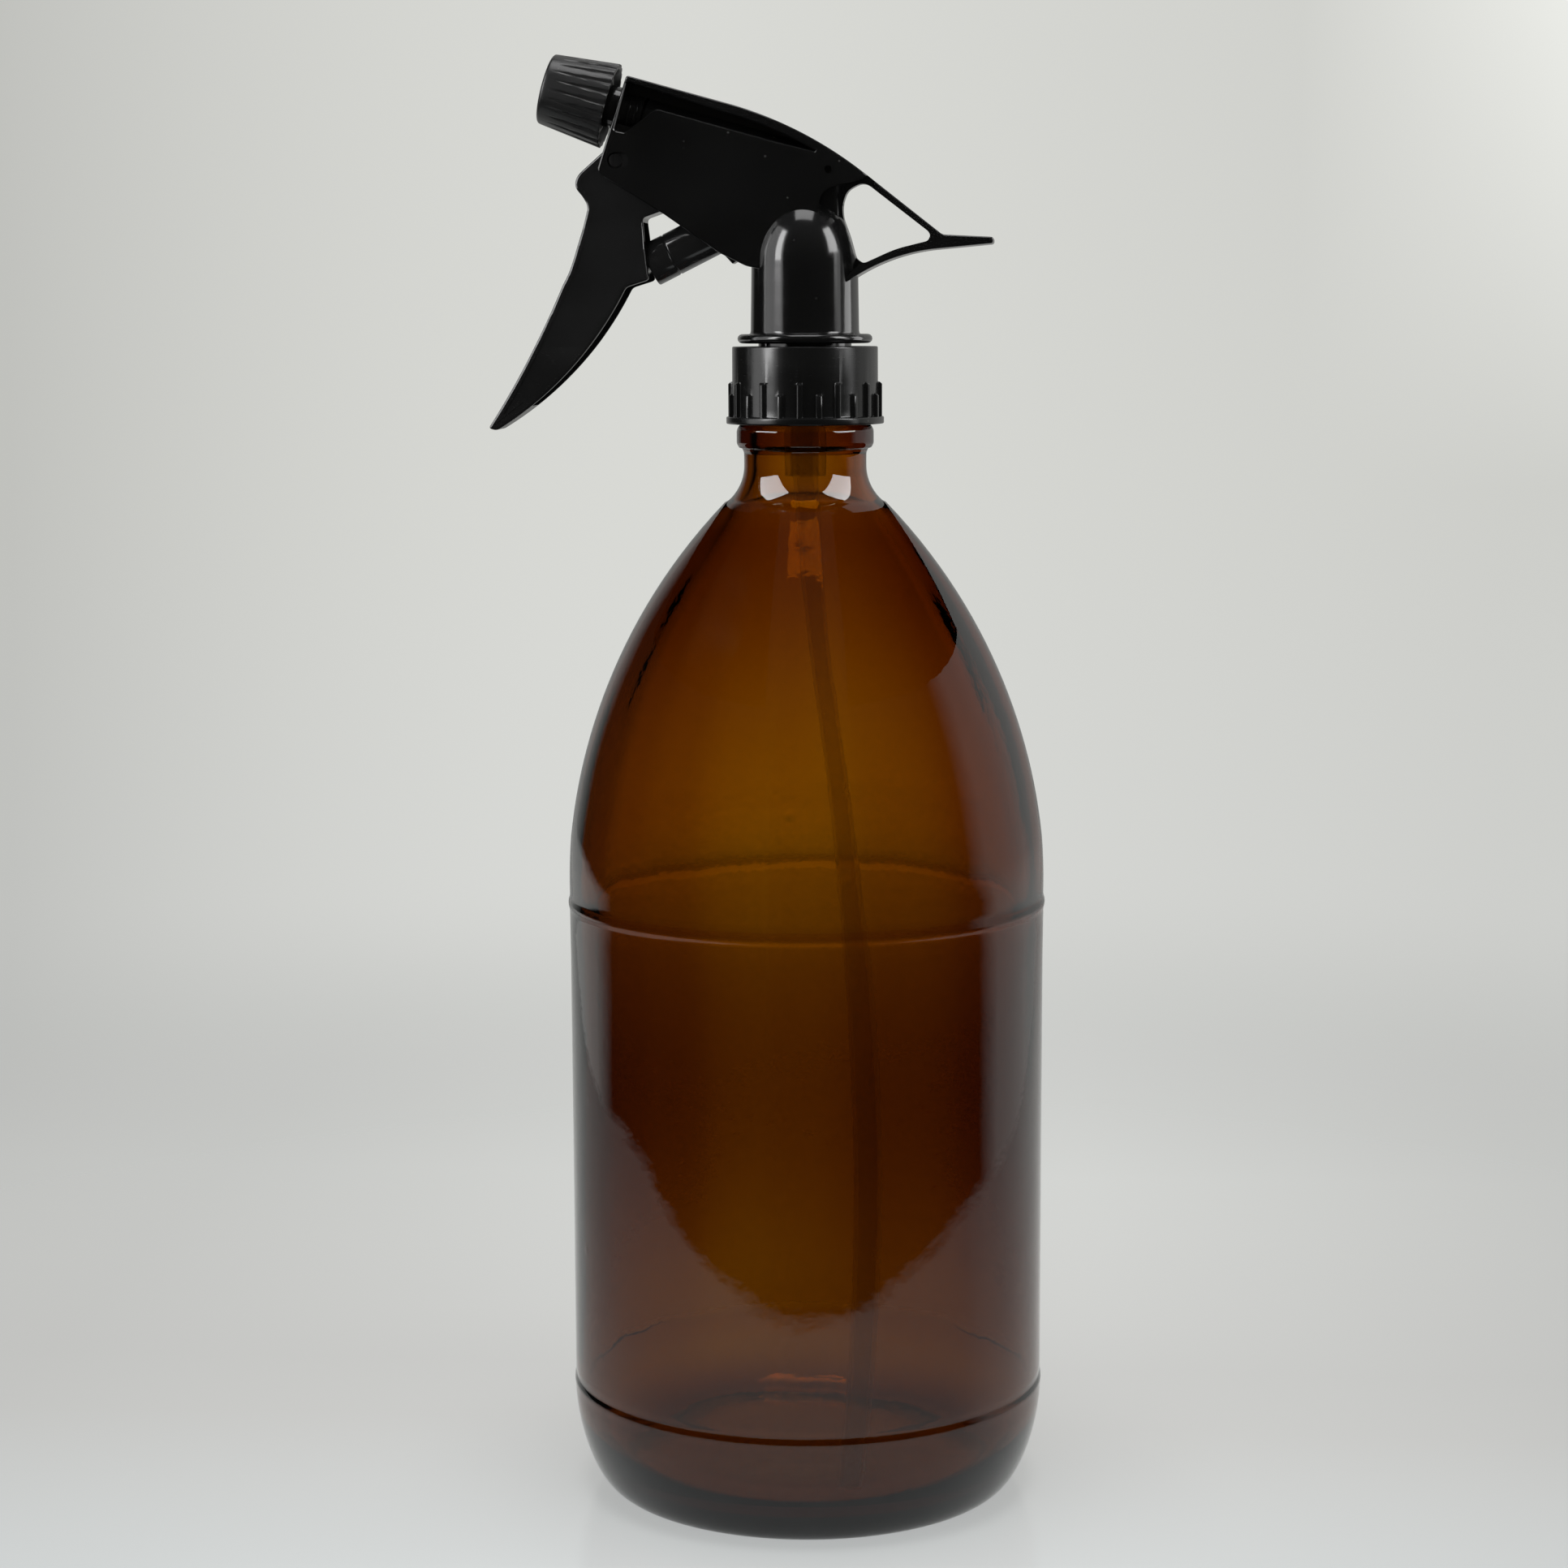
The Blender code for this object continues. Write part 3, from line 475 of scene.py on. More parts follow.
def glass_bottle(mat):
    base = [(r, 1.2) for r in (0.0, 12.0, 24.0, 36.6)]
    base += [(37.1, 1.0), (37.4, 0.5), (37.8, 0.12), (38.4, 0.0)]
    bead_low, bead_high = BEAD_Z
    finish = [
        (NECK_R, 206.6), (NECK_R + 0.03, 207.9), (NECK_R + 0.5, bead_low), (BEAD_R - 0.5, bead_low),
        (BEAD_R, bead_low + 0.8), (BEAD_R, bead_high - 0.9), (BEAD_R - 0.5, bead_high),
        (FINISH_R, bead_high + 0.5), (FINISH_R, LIP_Z - 0.8), (FINISH_R - 0.8, LIP_Z),
        (BORE_R + 0.5, LIP_Z), (BORE_R, LIP_Z - 0.8), (BORE_R, 208.0),
    ]
    finish = rounded([(NECK_R, 205.4)] + finish + [(BORE_R, 205.4)], 0.55, 4)
    profile = base + outer_wall() + finish[5:-5] + inner_wall()[1:]
    bottle = turned("amber_bottle", profile, even_angles(180), uneven_inside)
    ridge = helix_ridge(
        "neck_thread", FINISH_R - 0.25, 13.2, THREAD_PITCH, THREAD_START_Z, THREAD_TURNS, THREAD_HALVES,
    )
    combine(bottle, "UNION", ridge)
    return shown(bottle, mat, "bottle", "amber_glass", "glass_bottle", smooth_angle=50.0)


def dip_tube(mat):
    route = smooth_route(TUBE_ROUTE, 10)
    outer, inner = [], []
    for k, centre in enumerate(route):
        along = (route[min(k + 1, len(route) - 1)] - route[max(k - 1, 0)]).normalized()
        across = Vector((0.0, 1.0, 0.0)).cross(along).normalized()
        other = along.cross(across)
        spokes = [across * cos(t) + other * sin(t) for t in even_angles(28)]
        outer.append([centre + spoke * TUBE_OUTER for spoke in spokes])
        inner.append([centre + spoke * TUBE_INNER for spoke in spokes])
    tube = loft("clear_dip_tube", outer + inner[::-1], closed=True)
    return shown(tube, mat, "sprayer", "tube_plastic", "dip_tube")


# ---------------------------------------------------------------- collar and nozzle

def rib_angles(count, half, samples):
    """Angles for a ribbed round piece: close together at each rib's sides."""
    pitch = 2 * pi / count
    edge = [-1.25, -1.05, -0.85, -0.5, 0.0, 0.5, 0.85, 1.05, 1.25]
    rest = [1.25 * half + (pitch - 2.5 * half) * k / samples for k in range(1, samples)]
    return [pitch * c + a for c in range(count) for a in [e * half for e in edge] + rest]


def collar_shape(radius, z, angle):
    """Grip ribs: raised between the flange and their rounded tops."""
    if radius < COLLAR_R - 0.6:
        return radius
    pitch = 2 * pi / COLLAR_RIBS
    index = round(angle / pitch)
    away = abs(angle - index * pitch) * COLLAR_RIB_R
    top = COLLAR_RIB_TOP[index % 2]
    across = min(1.0, max(0.0, (0.55 - away) / 0.14))
    along = min(1.0, max(0.0, (top - z) / 0.5))
    height = COLLAR_RIB_R - radius
    return radius + height * across * sqrt(along) if height > 0 else radius


def screw_collar(mat):
    bottom, top = COLLAR_Z
    long_top, short_top = COLLAR_RIB_TOP
    outline = [(COLLAR_BORE, bottom), (COLLAR_FLANGE_R, bottom), (COLLAR_FLANGE_R, bottom + 1.4)]
    outline += [(COLLAR_R + 0.05, bottom + 1.4)]
    for z in (216.5, short_top - 0.5, short_top - 0.25, short_top - 0.08, short_top):
        outline.append((COLLAR_R + 0.04, z))
    for z in (220.4, long_top - 0.5, long_top - 0.25, long_top - 0.08, long_top):
        outline.append((COLLAR_R + 0.02, z))
    outline += [(COLLAR_R, top), (COLLAR_HOLE, top), (COLLAR_HOLE, top - 1.6), (COLLAR_BORE, top - 1.6)]
    angles = rib_angles(COLLAR_RIBS, 0.5 / COLLAR_RIB_R, 4)
    collar = turned("ribbed_collar", rounded(outline, 0.28), angles, collar_shape)
    ridge = helix_ridge(
        "collar_thread", COLLAR_BORE + 0.25, 12.75, THREAD_PITCH, THREAD_START_Z + THREAD_PITCH / 2,
        1.0, THREAD_HALVES, first=-pi / 2,
    )
    combine(collar, "UNION", ridge)
    return shown(collar, mat, "collar", "black_plastic", "screw_collar", smooth_angle=40.0)


def flute_shape(radius, u, angle):
    """Long tapered flutes: deepest at the rear rim, gone before the front."""
    rear, front = NOZZLE_U
    skirt = NOZZLE_R[0] + (NOZZLE_R[1] - NOZZLE_R[0]) * (u - rear) / (front - rear)
    if radius < skirt - 0.35 or u > front - 0.5:
        return radius
    pitch = 2 * pi / NOZZLE_FLUTES
    offset = abs(angle / pitch - round(angle / pitch)) * 2
    run = min(1.0, max(0.0, (front - 2.6 - u) / (front - 2.6 - rear)))
    width = 0.16 + 0.42 * run
    dip = max(0.0, 1 - offset / width)
    return radius - 0.4 * sqrt(run) * dip * (2 - dip)


def nozzle_cap(mat):
    rear, front = NOZZLE_U
    rear_r, front_r = NOZZLE_R
    floor, hollow_end = SPIGOT_U + 2.9, 9.0
    slope = (front_r - rear_r) / (front - rear)
    outside = [(rear_r + slope * (u - rear), u) for u in heights(rear + 0.4, front - 1.0, 1.2)]
    outline = [(rear_r - 1.0, rear), (rear_r, rear)] + outside
    outline += [(front_r, front - 0.3), (front_r - 0.5, front), (1.6, front)]
    outline += [(0.45, front - 0.7), (0.45, floor), (SLEEVE[0], floor)]
    outline += [(SLEEVE[0], rear + 0.9), (SLEEVE[1], rear + 0.9), (SLEEVE[1], hollow_end)]
    outline += [(rear_r + slope * (hollow_end - rear) - 1.1, hollow_end)]
    cap = turned("fluted_nozzle", rounded(outline, 0.3), even_angles(NOZZLE_FLUTES * 12), flute_shape)
    ridge = helix_ridge("cap_thread", SLEEVE[0] + 0.2, SPIGOT_R + 0.25, NOZZLE_PITCH,
                        4.6 + NOZZLE_PITCH / 2, 0.75, (0.5, 0.2))
    combine(cap, "UNION", ridge)
    place(cap, nozzle_place(0.0), SPRAY_DIR)
    return shown(cap, mat, "nozzle", "nozzle_plastic", "nozzle_cap", smooth_angle=28.0)


# ---------------------------------------------------------------- sprayer body

def ridge_line(drop, steps):
    """Top line of the head from the nozzle back to the tail fork, lowered by drop."""
    heading = Vector((cos(radians(SPRAY_ANGLE)), -sin(radians(SPRAY_ANGLE))))
    start = Vector(RIDGE_START) - Vector((-heading.y, heading.x)) * drop
    bend = start + heading * RIDGE_STRAIGHT
    return [tuple(start)] + arc(tuple(bend), -SPRAY_ANGLE, RIDGE_R - drop, -RIDGE_TURN, steps)


def head_outline():
    outline = ridge_line(0.0, 24)
    outline += [TAIL_FORK, (TAIL_TIP_X, TAIL_TIP_Z[1]), (TAIL_TIP_X, TAIL_TIP_Z[0])]
    first, last = TAIL_ARC_HEADINGS
    outline += reversed(arc(TAIL_ROOT, first, TAIL_ARC_R, last - first, 16))
    outline += [(4.0, 238.5), (-7.0, 243.0), (-11.0, 243.9)]
    outline += [(-16.1, 246.4), (-26.9, 253.9), (-38.4, 260.9)]
    return outline + [on_plate(0.0, -12.4)]


def tail_window():
    outline = [(11.7, 260.0), (24.3, 250.3), (24.7, 249.5), (24.2, 248.5)]
    outline += [(18.0, 247.0), (11.7, 244.2), (10.0, 245.4), (8.9, 249.4)]
    outline += [(7.6, 253.2), (7.5, 255.6), (8.4, 258.3)]
    return prism("tail_window", rounded(outline, 2.0, 5), -CHEEK_Y - 2, CHEEK_Y + 2)


def throat_cuts():
    """Hollows on both sides behind the dome, which leave a round column there."""
    outline = [(14.0, 262.0), (11.5, 260.3), (7.0, 259.3), (4.6, 258.5), (3.4, 257.2)]
    outline += [(3.1, 254.8), (3.1, 240.5), (6.0, 239.0), (10.4, 243.6), (14.0, 246.6)]
    outline = rounded(outline, 1.2, 4)
    return [prism("throat", outline, *sorted((side * 2.0, side * (CHEEK_Y + 2)))) for side in (-1, 1)]


def recess_outline(floor):
    under = [p for p in ridge_line(FLANGE_T, 24) if p[0] < 2.0]
    return [on_plate(-1.2, 5.3)] + under[1:] + [(2.7, 265.6)] + floor


def side_pockets():
    """Openings in the head's sides around the outlet tube."""
    tools = []
    cheek_edge = [on_plate(-31.9, 1.8), on_plate(-8.1, 1.8), on_plate(-3.4, -4.2), on_plate(-1.2, -4.3)]
    deck_edge = [on_plate(-31.9, 1.0), on_plate(-30.0, -2.9), on_plate(-1.2, -2.9)]
    for side in (-1, 1):
        inner = sorted((side * 0.7, side * (CHEEK_Y - WALL)))
        rim = rounded(recess_outline(cheek_edge), 0.5)
        tools.append(flared_tool("pocket_outer", rim, side, CHEEK_Y - WALL - 0.3, CHEEK_Y, 0.28))
        tools.append(prism("pocket_inner", recess_outline(deck_edge), *inner))
    return tools


def trigger_bay():
    outline = [on_plate(2.0, -6.4), on_plate(-1.5, -6.4), on_plate(-1.5, -4.4), on_plate(-30.0, -4.4)]
    outline += [(-8.7, 236.0), (-46.0, 236.0), (-46.0, 262.0)]
    half = CHEEK_Y - WALL
    return prism("trigger_bay", outline, -half, half)


def post():
    dome = [(POST_R * cos(a), DOME_Z + DOME_RISE * sin(a)) for a in (pi / 2 * k / 20 for k in range(20))]
    low, high = DISC_Z
    middle, half = (low + high) / 2, (high - low) / 2
    rim = [(DISC_R - half + half * cos(k / 2), middle + half * sin(k / 2)) for k in range(-3, 4)]
    profile = [(0.0, 227.0), (POST_NECK_R, 227.0), (POST_NECK_R, low)] + rim
    profile += [(POST_FOOT_R + 0.35, high), (POST_FOOT_R + 0.1, high + 0.15), (POST_FOOT_R, high + 0.6)]
    profile += [(POST_R, POST_TOP_Z)] + dome + [(0.0, DOME_Z + DOME_RISE)]
    return turned("post", profile, even_angles(96))


def stud_slot():
    outline = []
    for centre_x, first in ((PIVOT[0] + 1.0, -90), (PIVOT[0], 90)):
        for k in range(13):
            a = radians(first + 180 * k / 12)
            outline.append((centre_x + (STUD_R + 0.3) * cos(a), PIVOT[1] + (STUD_R + 0.3) * sin(a)))
    return prism("stud_slot", outline, -CHEEK_Y - 2, CHEEK_Y + 2)


def tube_rings():
    """Three low rings round the outlet tube behind the front plate."""
    rings = []
    for u in (-2.6, -4.0, -5.4):
        corners = ((-0.3, -0.35), (0.28, -0.2), (0.28, 0.2), (-0.3, 0.35))
        outline = rounded([(TUBE_R + out, u + along) for out, along in corners], 0.12)
        rings.append(place(turned("tube_ring", outline, even_angles(48)), nozzle_place(0.0), SPRAY_DIR))
    return rings


def o_ring_groove():
    low, high = GROOVE_U
    outline = [(3.4, low), (SPIGOT_R + 1.0, low), (SPIGOT_R + 1.0, high), (3.4, high)]
    return place(turned("o_ring_groove", outline, even_angles(40)), nozzle_place(0.0), SPRAY_DIR)


def sprayer_body(mat):
    body = rounded_prism("sprayer_head", rounded(head_outline(), 0.6, 4), CHEEK_Y, 0.42)
    thread = helix_ridge("spigot_thread", SPIGOT_R - 0.2, 4.6, NOZZLE_PITCH, 4.6, 1.25, (0.6, 0.25))
    oval = [(4.3 + 3.9 * cos(a), 4.0 * sin(a)) for a in even_angles(48)]
    column = loft("column", [[(x, y, z) for x, y in oval] for z in (238.0, 262.0)])
    tab = [(-16.0, 248.0), (-15.4, 246.0), (-13.9, 244.4), (-13.1, 244.9), (-12.0, 248.0)]
    mouth, back = CYLINDER_S
    combine(body, "DIFFERENCE", trigger_bay(), *side_pockets(), *throat_cuts())
    combine(
        body, "UNION",
        column,
        post(),
        rod("cylinder", CYLINDER_R, pump_place(mouth), pump_place(back)),
        rod("outlet_tube", TUBE_R, nozzle_place(-0.6), nozzle_place(-37.5)),
        rod("spigot", SPIGOT_R, nozzle_place(-0.8), nozzle_place(SPIGOT_U)),
        *tube_rings(),
        place(thread, nozzle_place(0.0), SPRAY_DIR),
        prism("stop_tab", tab, -2.5, 2.5),
    )
    combine(
        body, "DIFFERENCE",
        tail_window(),
        stud_slot(),
        o_ring_groove(),
        rod("post_bore", POST_BORE, (0, 0, 220.0), (0, 0, POST_BORE_TOP)),
        rod("cylinder_bore", CYLINDER_BORE, pump_place(mouth - 3.0), pump_place(back - 1.2)),
        rod("valve_bore", VALVE_BORE, nozzle_place(-9.0), nozzle_place(SPIGOT_U + 3.0)),
        rod("witness_hole", 0.75, (5.0, -CHEEK_Y - 2, 262.2), (5.0, -CHEEK_Y + 1.5, 262.2), 24),
    )
    bevelled(clean(body), 0.16, 2, 35.0)
    return shown(body, mat, "sprayer", "black_plastic", "sprayer_body", flat_faces=True)


# ---------------------------------------------------------------- trigger and piston

def trigger_edges():
    """Front and rear edges of the lever, from its head down to the tip."""
    lobe = [
        (-38.2, 266.4), (-41.3, 263.7), (-43.8, 261.3), (-44.2, 259.2), (-42.8, 257.2),
        (-42.0, 255.5), (-42.3, 253.6), (-43.8, 248.0), (-45.4, 243.2), (-46.9, 240.2),
    ]
    front = smooth_route([(x, 0.0, z) for x, z in lobe], 6)
    front = [(p[0], p[2]) for p in front][:-1] + arc(lobe[-1], 246.5, 170.0, -10.6, 24)
    rear = [(-34.6, 267.0), (-32.4, 265.6), (-29.8, 261.4), (-27.6, 257.2), (-27.2, 254.6), (-31.2, 253.2)]
    rear += [(-30.6, 247.0), (-29.9, 241.3)] + arc((-34.4, 239.9), 243.0, 68.0, -32.5, 24)
    return front, rear


def trigger_outline(front_inset=0.0, rear_inset=0.0, tops=(300.0, 300.0), end=0, closing=()):
    """Outline between the two edges, each moved inwards and cut off above its top height."""
    result = []
    for edge, inset, top in zip(trigger_edges(), (front_inset, -rear_inset), tops):
        moved = []
        for k, point in enumerate(edge):
            along = (Vector(edge[min(k + 1, len(edge) - 1)]) - Vector(edge[max(k - 1, 0)])).normalized()
            moved.append(Vector(point) + Vector((-along.y, along.x)) * inset)
        result.append([tuple(p) for p in moved[:len(moved) - end] if p.y < top])
    return result[0] + result[1][::-1] + list(closing)


def trigger_half_width(z):
    for (low_z, low), (high_z, high) in zip(TRIGGER_WIDTHS, TRIGGER_WIDTHS[1:]):
        if z < high_z:
            return low + (high - low) * (z - low_z) / (high_z - low_z)
    return HEAD_HALF


def shape_widths(obj):
    """Narrow the lever's head and tip; its sides are cut across where the width changes."""
    bm = bmesh.new()
    bm.from_mesh(obj.data)
    for z, _ in TRIGGER_WIDTHS[1:]:
        parts = bm.verts[:] + bm.edges[:] + bm.faces[:]
        bmesh.ops.bisect_plane(bm, geom=parts, plane_co=(0, 0, z * MM), plane_no=(0, 0, 1))
    for vert in bm.verts:
        vert.co.y *= trigger_half_width(vert.co.z / MM) / BLADE_HALF
    bm.to_mesh(obj.data)
    bm.free()
    return obj


def trigger_lever(mat):
    lever = rounded_prism("curved_trigger", rounded(trigger_outline(), 0.7, 4), BLADE_HALF, 0.6)
    inside = BLADE_HALF - 1.1
    hollow = prism("trigger_hollow", trigger_outline(1.6, -2.0, (252.5, 252.5), 6), -inside, inside)
    combine(lever, "DIFFERENCE", hollow, solver="MANIFOLD")
    for side in (-1, 1):
        reach = sorted((side * (BLADE_HALF - 0.22), side * (BLADE_HALF + 2.0)))
        closing = [(-33.0, 252.2), (-30.6, 257.6), (-36.5, 264.0)]
        panel = trigger_outline(1.1, 1.9, (262.0, 252.0), 3, closing)
        combine(lever, "DIFFERENCE", prism("side_panel", panel, *reach), solver="MANIFOLD")
    shape_widths(bevelled(clean(lever), 0.12, 2, 38.0))
    nose = pump_place(PISTON_S[0] - 0.3 - NOSE_R)
    reach = Vector((0.0, BLADE_HALF - 0.4, 0.0))
    pivot, stud = Vector((PIVOT[0], 0.0, PIVOT[1])), Vector((0.0, CHEEK_Y - 0.1, 0.0))
    studs = rod("studs", STUD_R, pivot - stud, pivot + stud)
    for side in (-1, 1):
        ramp = [(-0.5, side * 6.0), (1.6, side * 4.9), (1.6, side * 8.0), (-0.5, side * 8.0)]
        wedge = [[(pivot.x + x, y, pivot.z + z) for x, y in ramp] for z in (-2.0, 2.0)]
        combine(studs, "DIFFERENCE", loft("snap_ramp", wedge), solver="MANIFOLD")
    pusher = rod("pusher_nose", NOSE_R, nose - reach, nose + reach)
    combine(lever, "UNION", pusher, studs, solver="MANIFOLD")
    return shown(lever, mat, "trigger", "black_plastic", "trigger_lever", flat_faces=True)


def piston(mat):
    low, high = PISTON_S
    outline = [
        (0.0, low), (PISTON_R, low), (PISTON_R, 3.3), (PISTON_R - 0.22, 3.5), (PISTON_R, 3.7),
        (PISTON_R, 16.5), (3.7, 16.5), (3.7, high), (3.2, high), (3.2, 6.0), (0.0, 6.0),
    ]
    shaft = turned("pump_piston_rod", rounded(outline, 0.3), even_angles(64))
    place(shaft, pump_place(0.0), PUMP_DIR)
    return shown(shaft, mat, "pump_piston", "black_plastic", "piston")


# ---------------------------------------------------------------- materials

class Tree:
    """Short way to build a node tree."""

    def __init__(self, tree):
        self.tree = tree

    def add(self, kind, **values):
        """New node; values are attributes if they start with set_, else inputs as for fill."""
        node = self.tree.nodes.new("ShaderNode" + kind)
        for key in [key for key in values if key.startswith("set_")]:
            setattr(node, key[4:], values.pop(key))
        return self.fill(node, **values)

    def fill(self, node, **values):
        """Values for a node's inputs, by name or as i0, i1."""
        for key, value in values.items():
            by_number = key[0] == "i" and key[1:].isdigit()
            self.put(node.inputs[int(key[1:]) if by_number else key.replace("_", " ")], value)
        return node

    def put(self, socket, value):
        if isinstance(value, bpy.types.Node):
            value = value.outputs[0]
        if isinstance(value, bpy.types.NodeSocket):
            self.tree.links.new(value, socket)
        else:
            socket.default_value = value

    def maths(self, operation, *values, clamp=False):
        node = self.add("Math", set_operation=operation, set_use_clamp=clamp)
        for socket, value in zip(node.inputs, values):
            self.put(socket, value)
        return node.outputs[0]

    def times(self, a, b):
        return self.maths("MULTIPLY", a, b)

    def total(self, first, *others):
        for other in others:
            first = self.maths("ADD", first, other)
        return first

    def scaled(self, colour, level):
        return self.add("VectorMath", set_operation="SCALE", i0=colour, Scale=level).outputs[0]

    def noise(self, where, scale, detail=3.0, roughness=0.5):
        node = self.add("TexNoise", Vector=where, Scale=scale, Detail=detail, Roughness=roughness)
        return node.outputs[0]

    def ramp(self, value, low, high, to_low=0.0, to_high=1.0, curve="LINEAR"):
        """Value mapped from one range to another, and held at the ends."""
        return self.add(
            "MapRange", set_interpolation_type=curve, Value=value,
            From_Min=low, From_Max=high, To_Min=to_low, To_Max=to_high,
        ).outputs[0]

    def blend(self, factor, low, high):
        return self.add("Mix", set_data_type="FLOAT", i0=factor, i2=low, i3=high).outputs[0]

    def stretched(self, where, scale):
        return self.add("Mapping", Vector=where, Scale=scale).outputs[0]

    def mix(self, factor, a, b):
        node = self.add("Mix", set_data_type="RGBA", i0=factor)
        self.put(node.inputs[6], a)
        self.put(node.inputs[7], b)
        return node.outputs[2]

    def bump(self, height, distance, strength=1.0):
        return self.add("Bump", Height=height, Distance=distance, Strength=strength).outputs[0]


def new_material(name):
    mat = bpy.data.materials.new(name)
    mat.use_nodes = True
    tree = Tree(mat.node_tree)
    where = tree.add("TexCoord").outputs["Object"]
    nodes = mat.node_tree.nodes
    return mat, tree, where, nodes["Principled BSDF"], nodes["Material Output"]


def opaque(colour, level=1.0):
    return tuple(level * c for c in colour) + (1,)


def seeds(tree, where, scale, keep, size):
    """Sparse round specks: 1 at the middle of each speck."""
    cells = tree.add("TexVoronoi", Vector=where, Scale=scale)
    chosen = tree.ramp(tree.add("SeparateColor", i0=cells.outputs["Color"]).outputs[0], keep, keep - 0.01)
    return tree.times(tree.ramp(cells.outputs["Distance"], size, 0.0), chosen)


def amber_glass():
    """Blown amber glass: tinted by depth, with a faint ripple, seeds and finger haze."""
    mat, tree, where, shader, output = new_material("amber_glass")
    ripple = tree.noise(where, 46.0, 1.0)
    peel = tree.noise(where, 310.0, 2.0, 0.55)
    speck = seeds(tree, where, 95.0, 0.05, 0.13)
    height = tree.total(tree.times(ripple, 0.00014), tree.times(peel, 0.000018), tree.times(speck, 0.00006))
    haze = tree.ramp(tree.noise(where, 38.0, 5.0, 0.65), 0.45, 0.75, 0.0, 0.035)
    tint = tree.mix(tree.noise(where, 24.0), (0.98, 0.90, 0.66, 1), (0.94, 0.84, 0.55, 1))
    tree.fill(
        shader,
        Base_Color=tint,
        Roughness=haze,
        IOR=1.5,
        Transmission_Weight=1.0,
        Normal=tree.bump(height, 1.0),
    )
    depth = tree.add("VolumeAbsorption", Color=(0.846, 0.730, 0.10, 1), Density=1900.0)
    tree.put(output.inputs["Volume"], depth)
    return mat


def moulded_plastic(name, colour, gloss, flow=0.5, collar_rough=0.0):
    """Glossy moulded plastic: faint flow marks, fine texture, dust; the collar below is less polished."""
    mat, tree, where, shader, _ = new_material(name)
    streaks = tree.noise(tree.stretched(where, (60.0, 90.0, 260.0)), 1.0, 4.0, 0.55)
    swirl = tree.noise(where, 75.0, 2.0)
    grain = tree.noise(where, 2600.0, 2.0)
    scratches = tree.noise(tree.stretched(where, (420.0, 420.0, 4200.0)), 1.0, 3.0, 0.6)
    dust = seeds(tree, where, 700.0, 0.035, 0.22)
    tone = tree.mix(tree.ramp(swirl, 0.3, 0.7), opaque(colour, 0.8), opaque(colour, 1.35))
    tone = tree.mix(tree.times(dust, 0.5), tone, (0.16, 0.16, 0.15, 1))
    tree.fill(shader, Base_Color=tone)
    height = tree.add("SeparateXYZ", Vector=where).outputs[2]
    collar = tree.ramp(height, COLLAR_TOP + 0.0003, COLLAR_TOP - 0.0001, 0.0, collar_rough)
    flowing = tree.times(tree.ramp(streaks, 0.35, 0.7), 0.11 * flow)
    scuffed = tree.times(tree.ramp(scratches, 0.62, 0.75), 0.12)
    tree.fill(shader, Roughness=tree.total(gloss, flowing, scuffed, collar, tree.times(dust, 0.3)))
    relief = tree.total(
        tree.times(streaks, 0.000016 * flow), tree.times(grain, 0.0000006),
        tree.times(swirl, 0.00004 * flow), tree.times(scratches, 0.0000012),
    )
    tree.fill(
        shader,
        IOR=1.49,
        Normal=tree.bump(relief, 1.0),
    )
    return mat


def milky_plastic(name, colour, clearness, index):
    """Natural plastic that lets some light through."""
    mat, tree, where, shader, _ = new_material(name)
    cloud = tree.noise(where, 130.0, 3.0)
    tree.fill(
        shader,
        Base_Color=tree.mix(cloud, opaque(colour, 0.93), opaque(colour)),
        Roughness=tree.ramp(cloud, 0.2, 0.8, 0.16, 0.3),
        Transmission_Weight=clearness,
        IOR=index,
        Normal=tree.bump(tree.times(cloud, 0.00003), 1.0),
    )
    return mat


def soft_rubber():
    mat, tree, where, shader, _ = new_material("seal_rubber")
    grain = tree.noise(where, 1500.0, 4.0)
    tree.fill(
        shader,
        Base_Color=tree.mix(grain, (0.022, 0.022, 0.023, 1), (0.05, 0.05, 0.05, 1)),
        Roughness=tree.ramp(grain, 0.3, 0.7, 0.62, 0.85),
        Normal=tree.bump(tree.times(grain, 0.00001), 1.0),
    )
    return mat


def drawn_steel():
    mat, tree, where, shader, _ = new_material("spring_steel")
    lines = tree.noise(tree.stretched(where, (900.0, 900.0, 5000.0)), 1.0, 3.0)
    tree.fill(
        shader,
        Base_Color=tree.mix(lines, (0.50, 0.50, 0.52, 1), (0.68, 0.68, 0.70, 1)),
        Metallic=1.0,
        Roughness=tree.ramp(lines, 0.3, 0.7, 0.16, 0.34),
        Normal=tree.bump(tree.times(lines, 0.000004), 1.0),
    )
    return mat


# ---------------------------------------------------------------- stage, light and camera

CAMERA_TURN = 4.6               # degrees; lights are placed from it too
TABLE_MIDDLE = (-0.03, 0.05)
TABLE_REACH = (0.33, 0.25)      # half width, and front edge from the middle
BOUNCE_FADE = (0.35, 1.1)       # distances over which the floor melts into the backdrop
VIEW_FADE = (0.10, 0.80)        # the same for what the camera sees directly
FLOOR_SHARE = 0.34              # part of the floor's light that the bottle may shade
FLOOR_LIGHT = 19.4
FRONT_EDGE = (-0.155, -0.09)    # downward slopes at which reflections pass from the table to the room


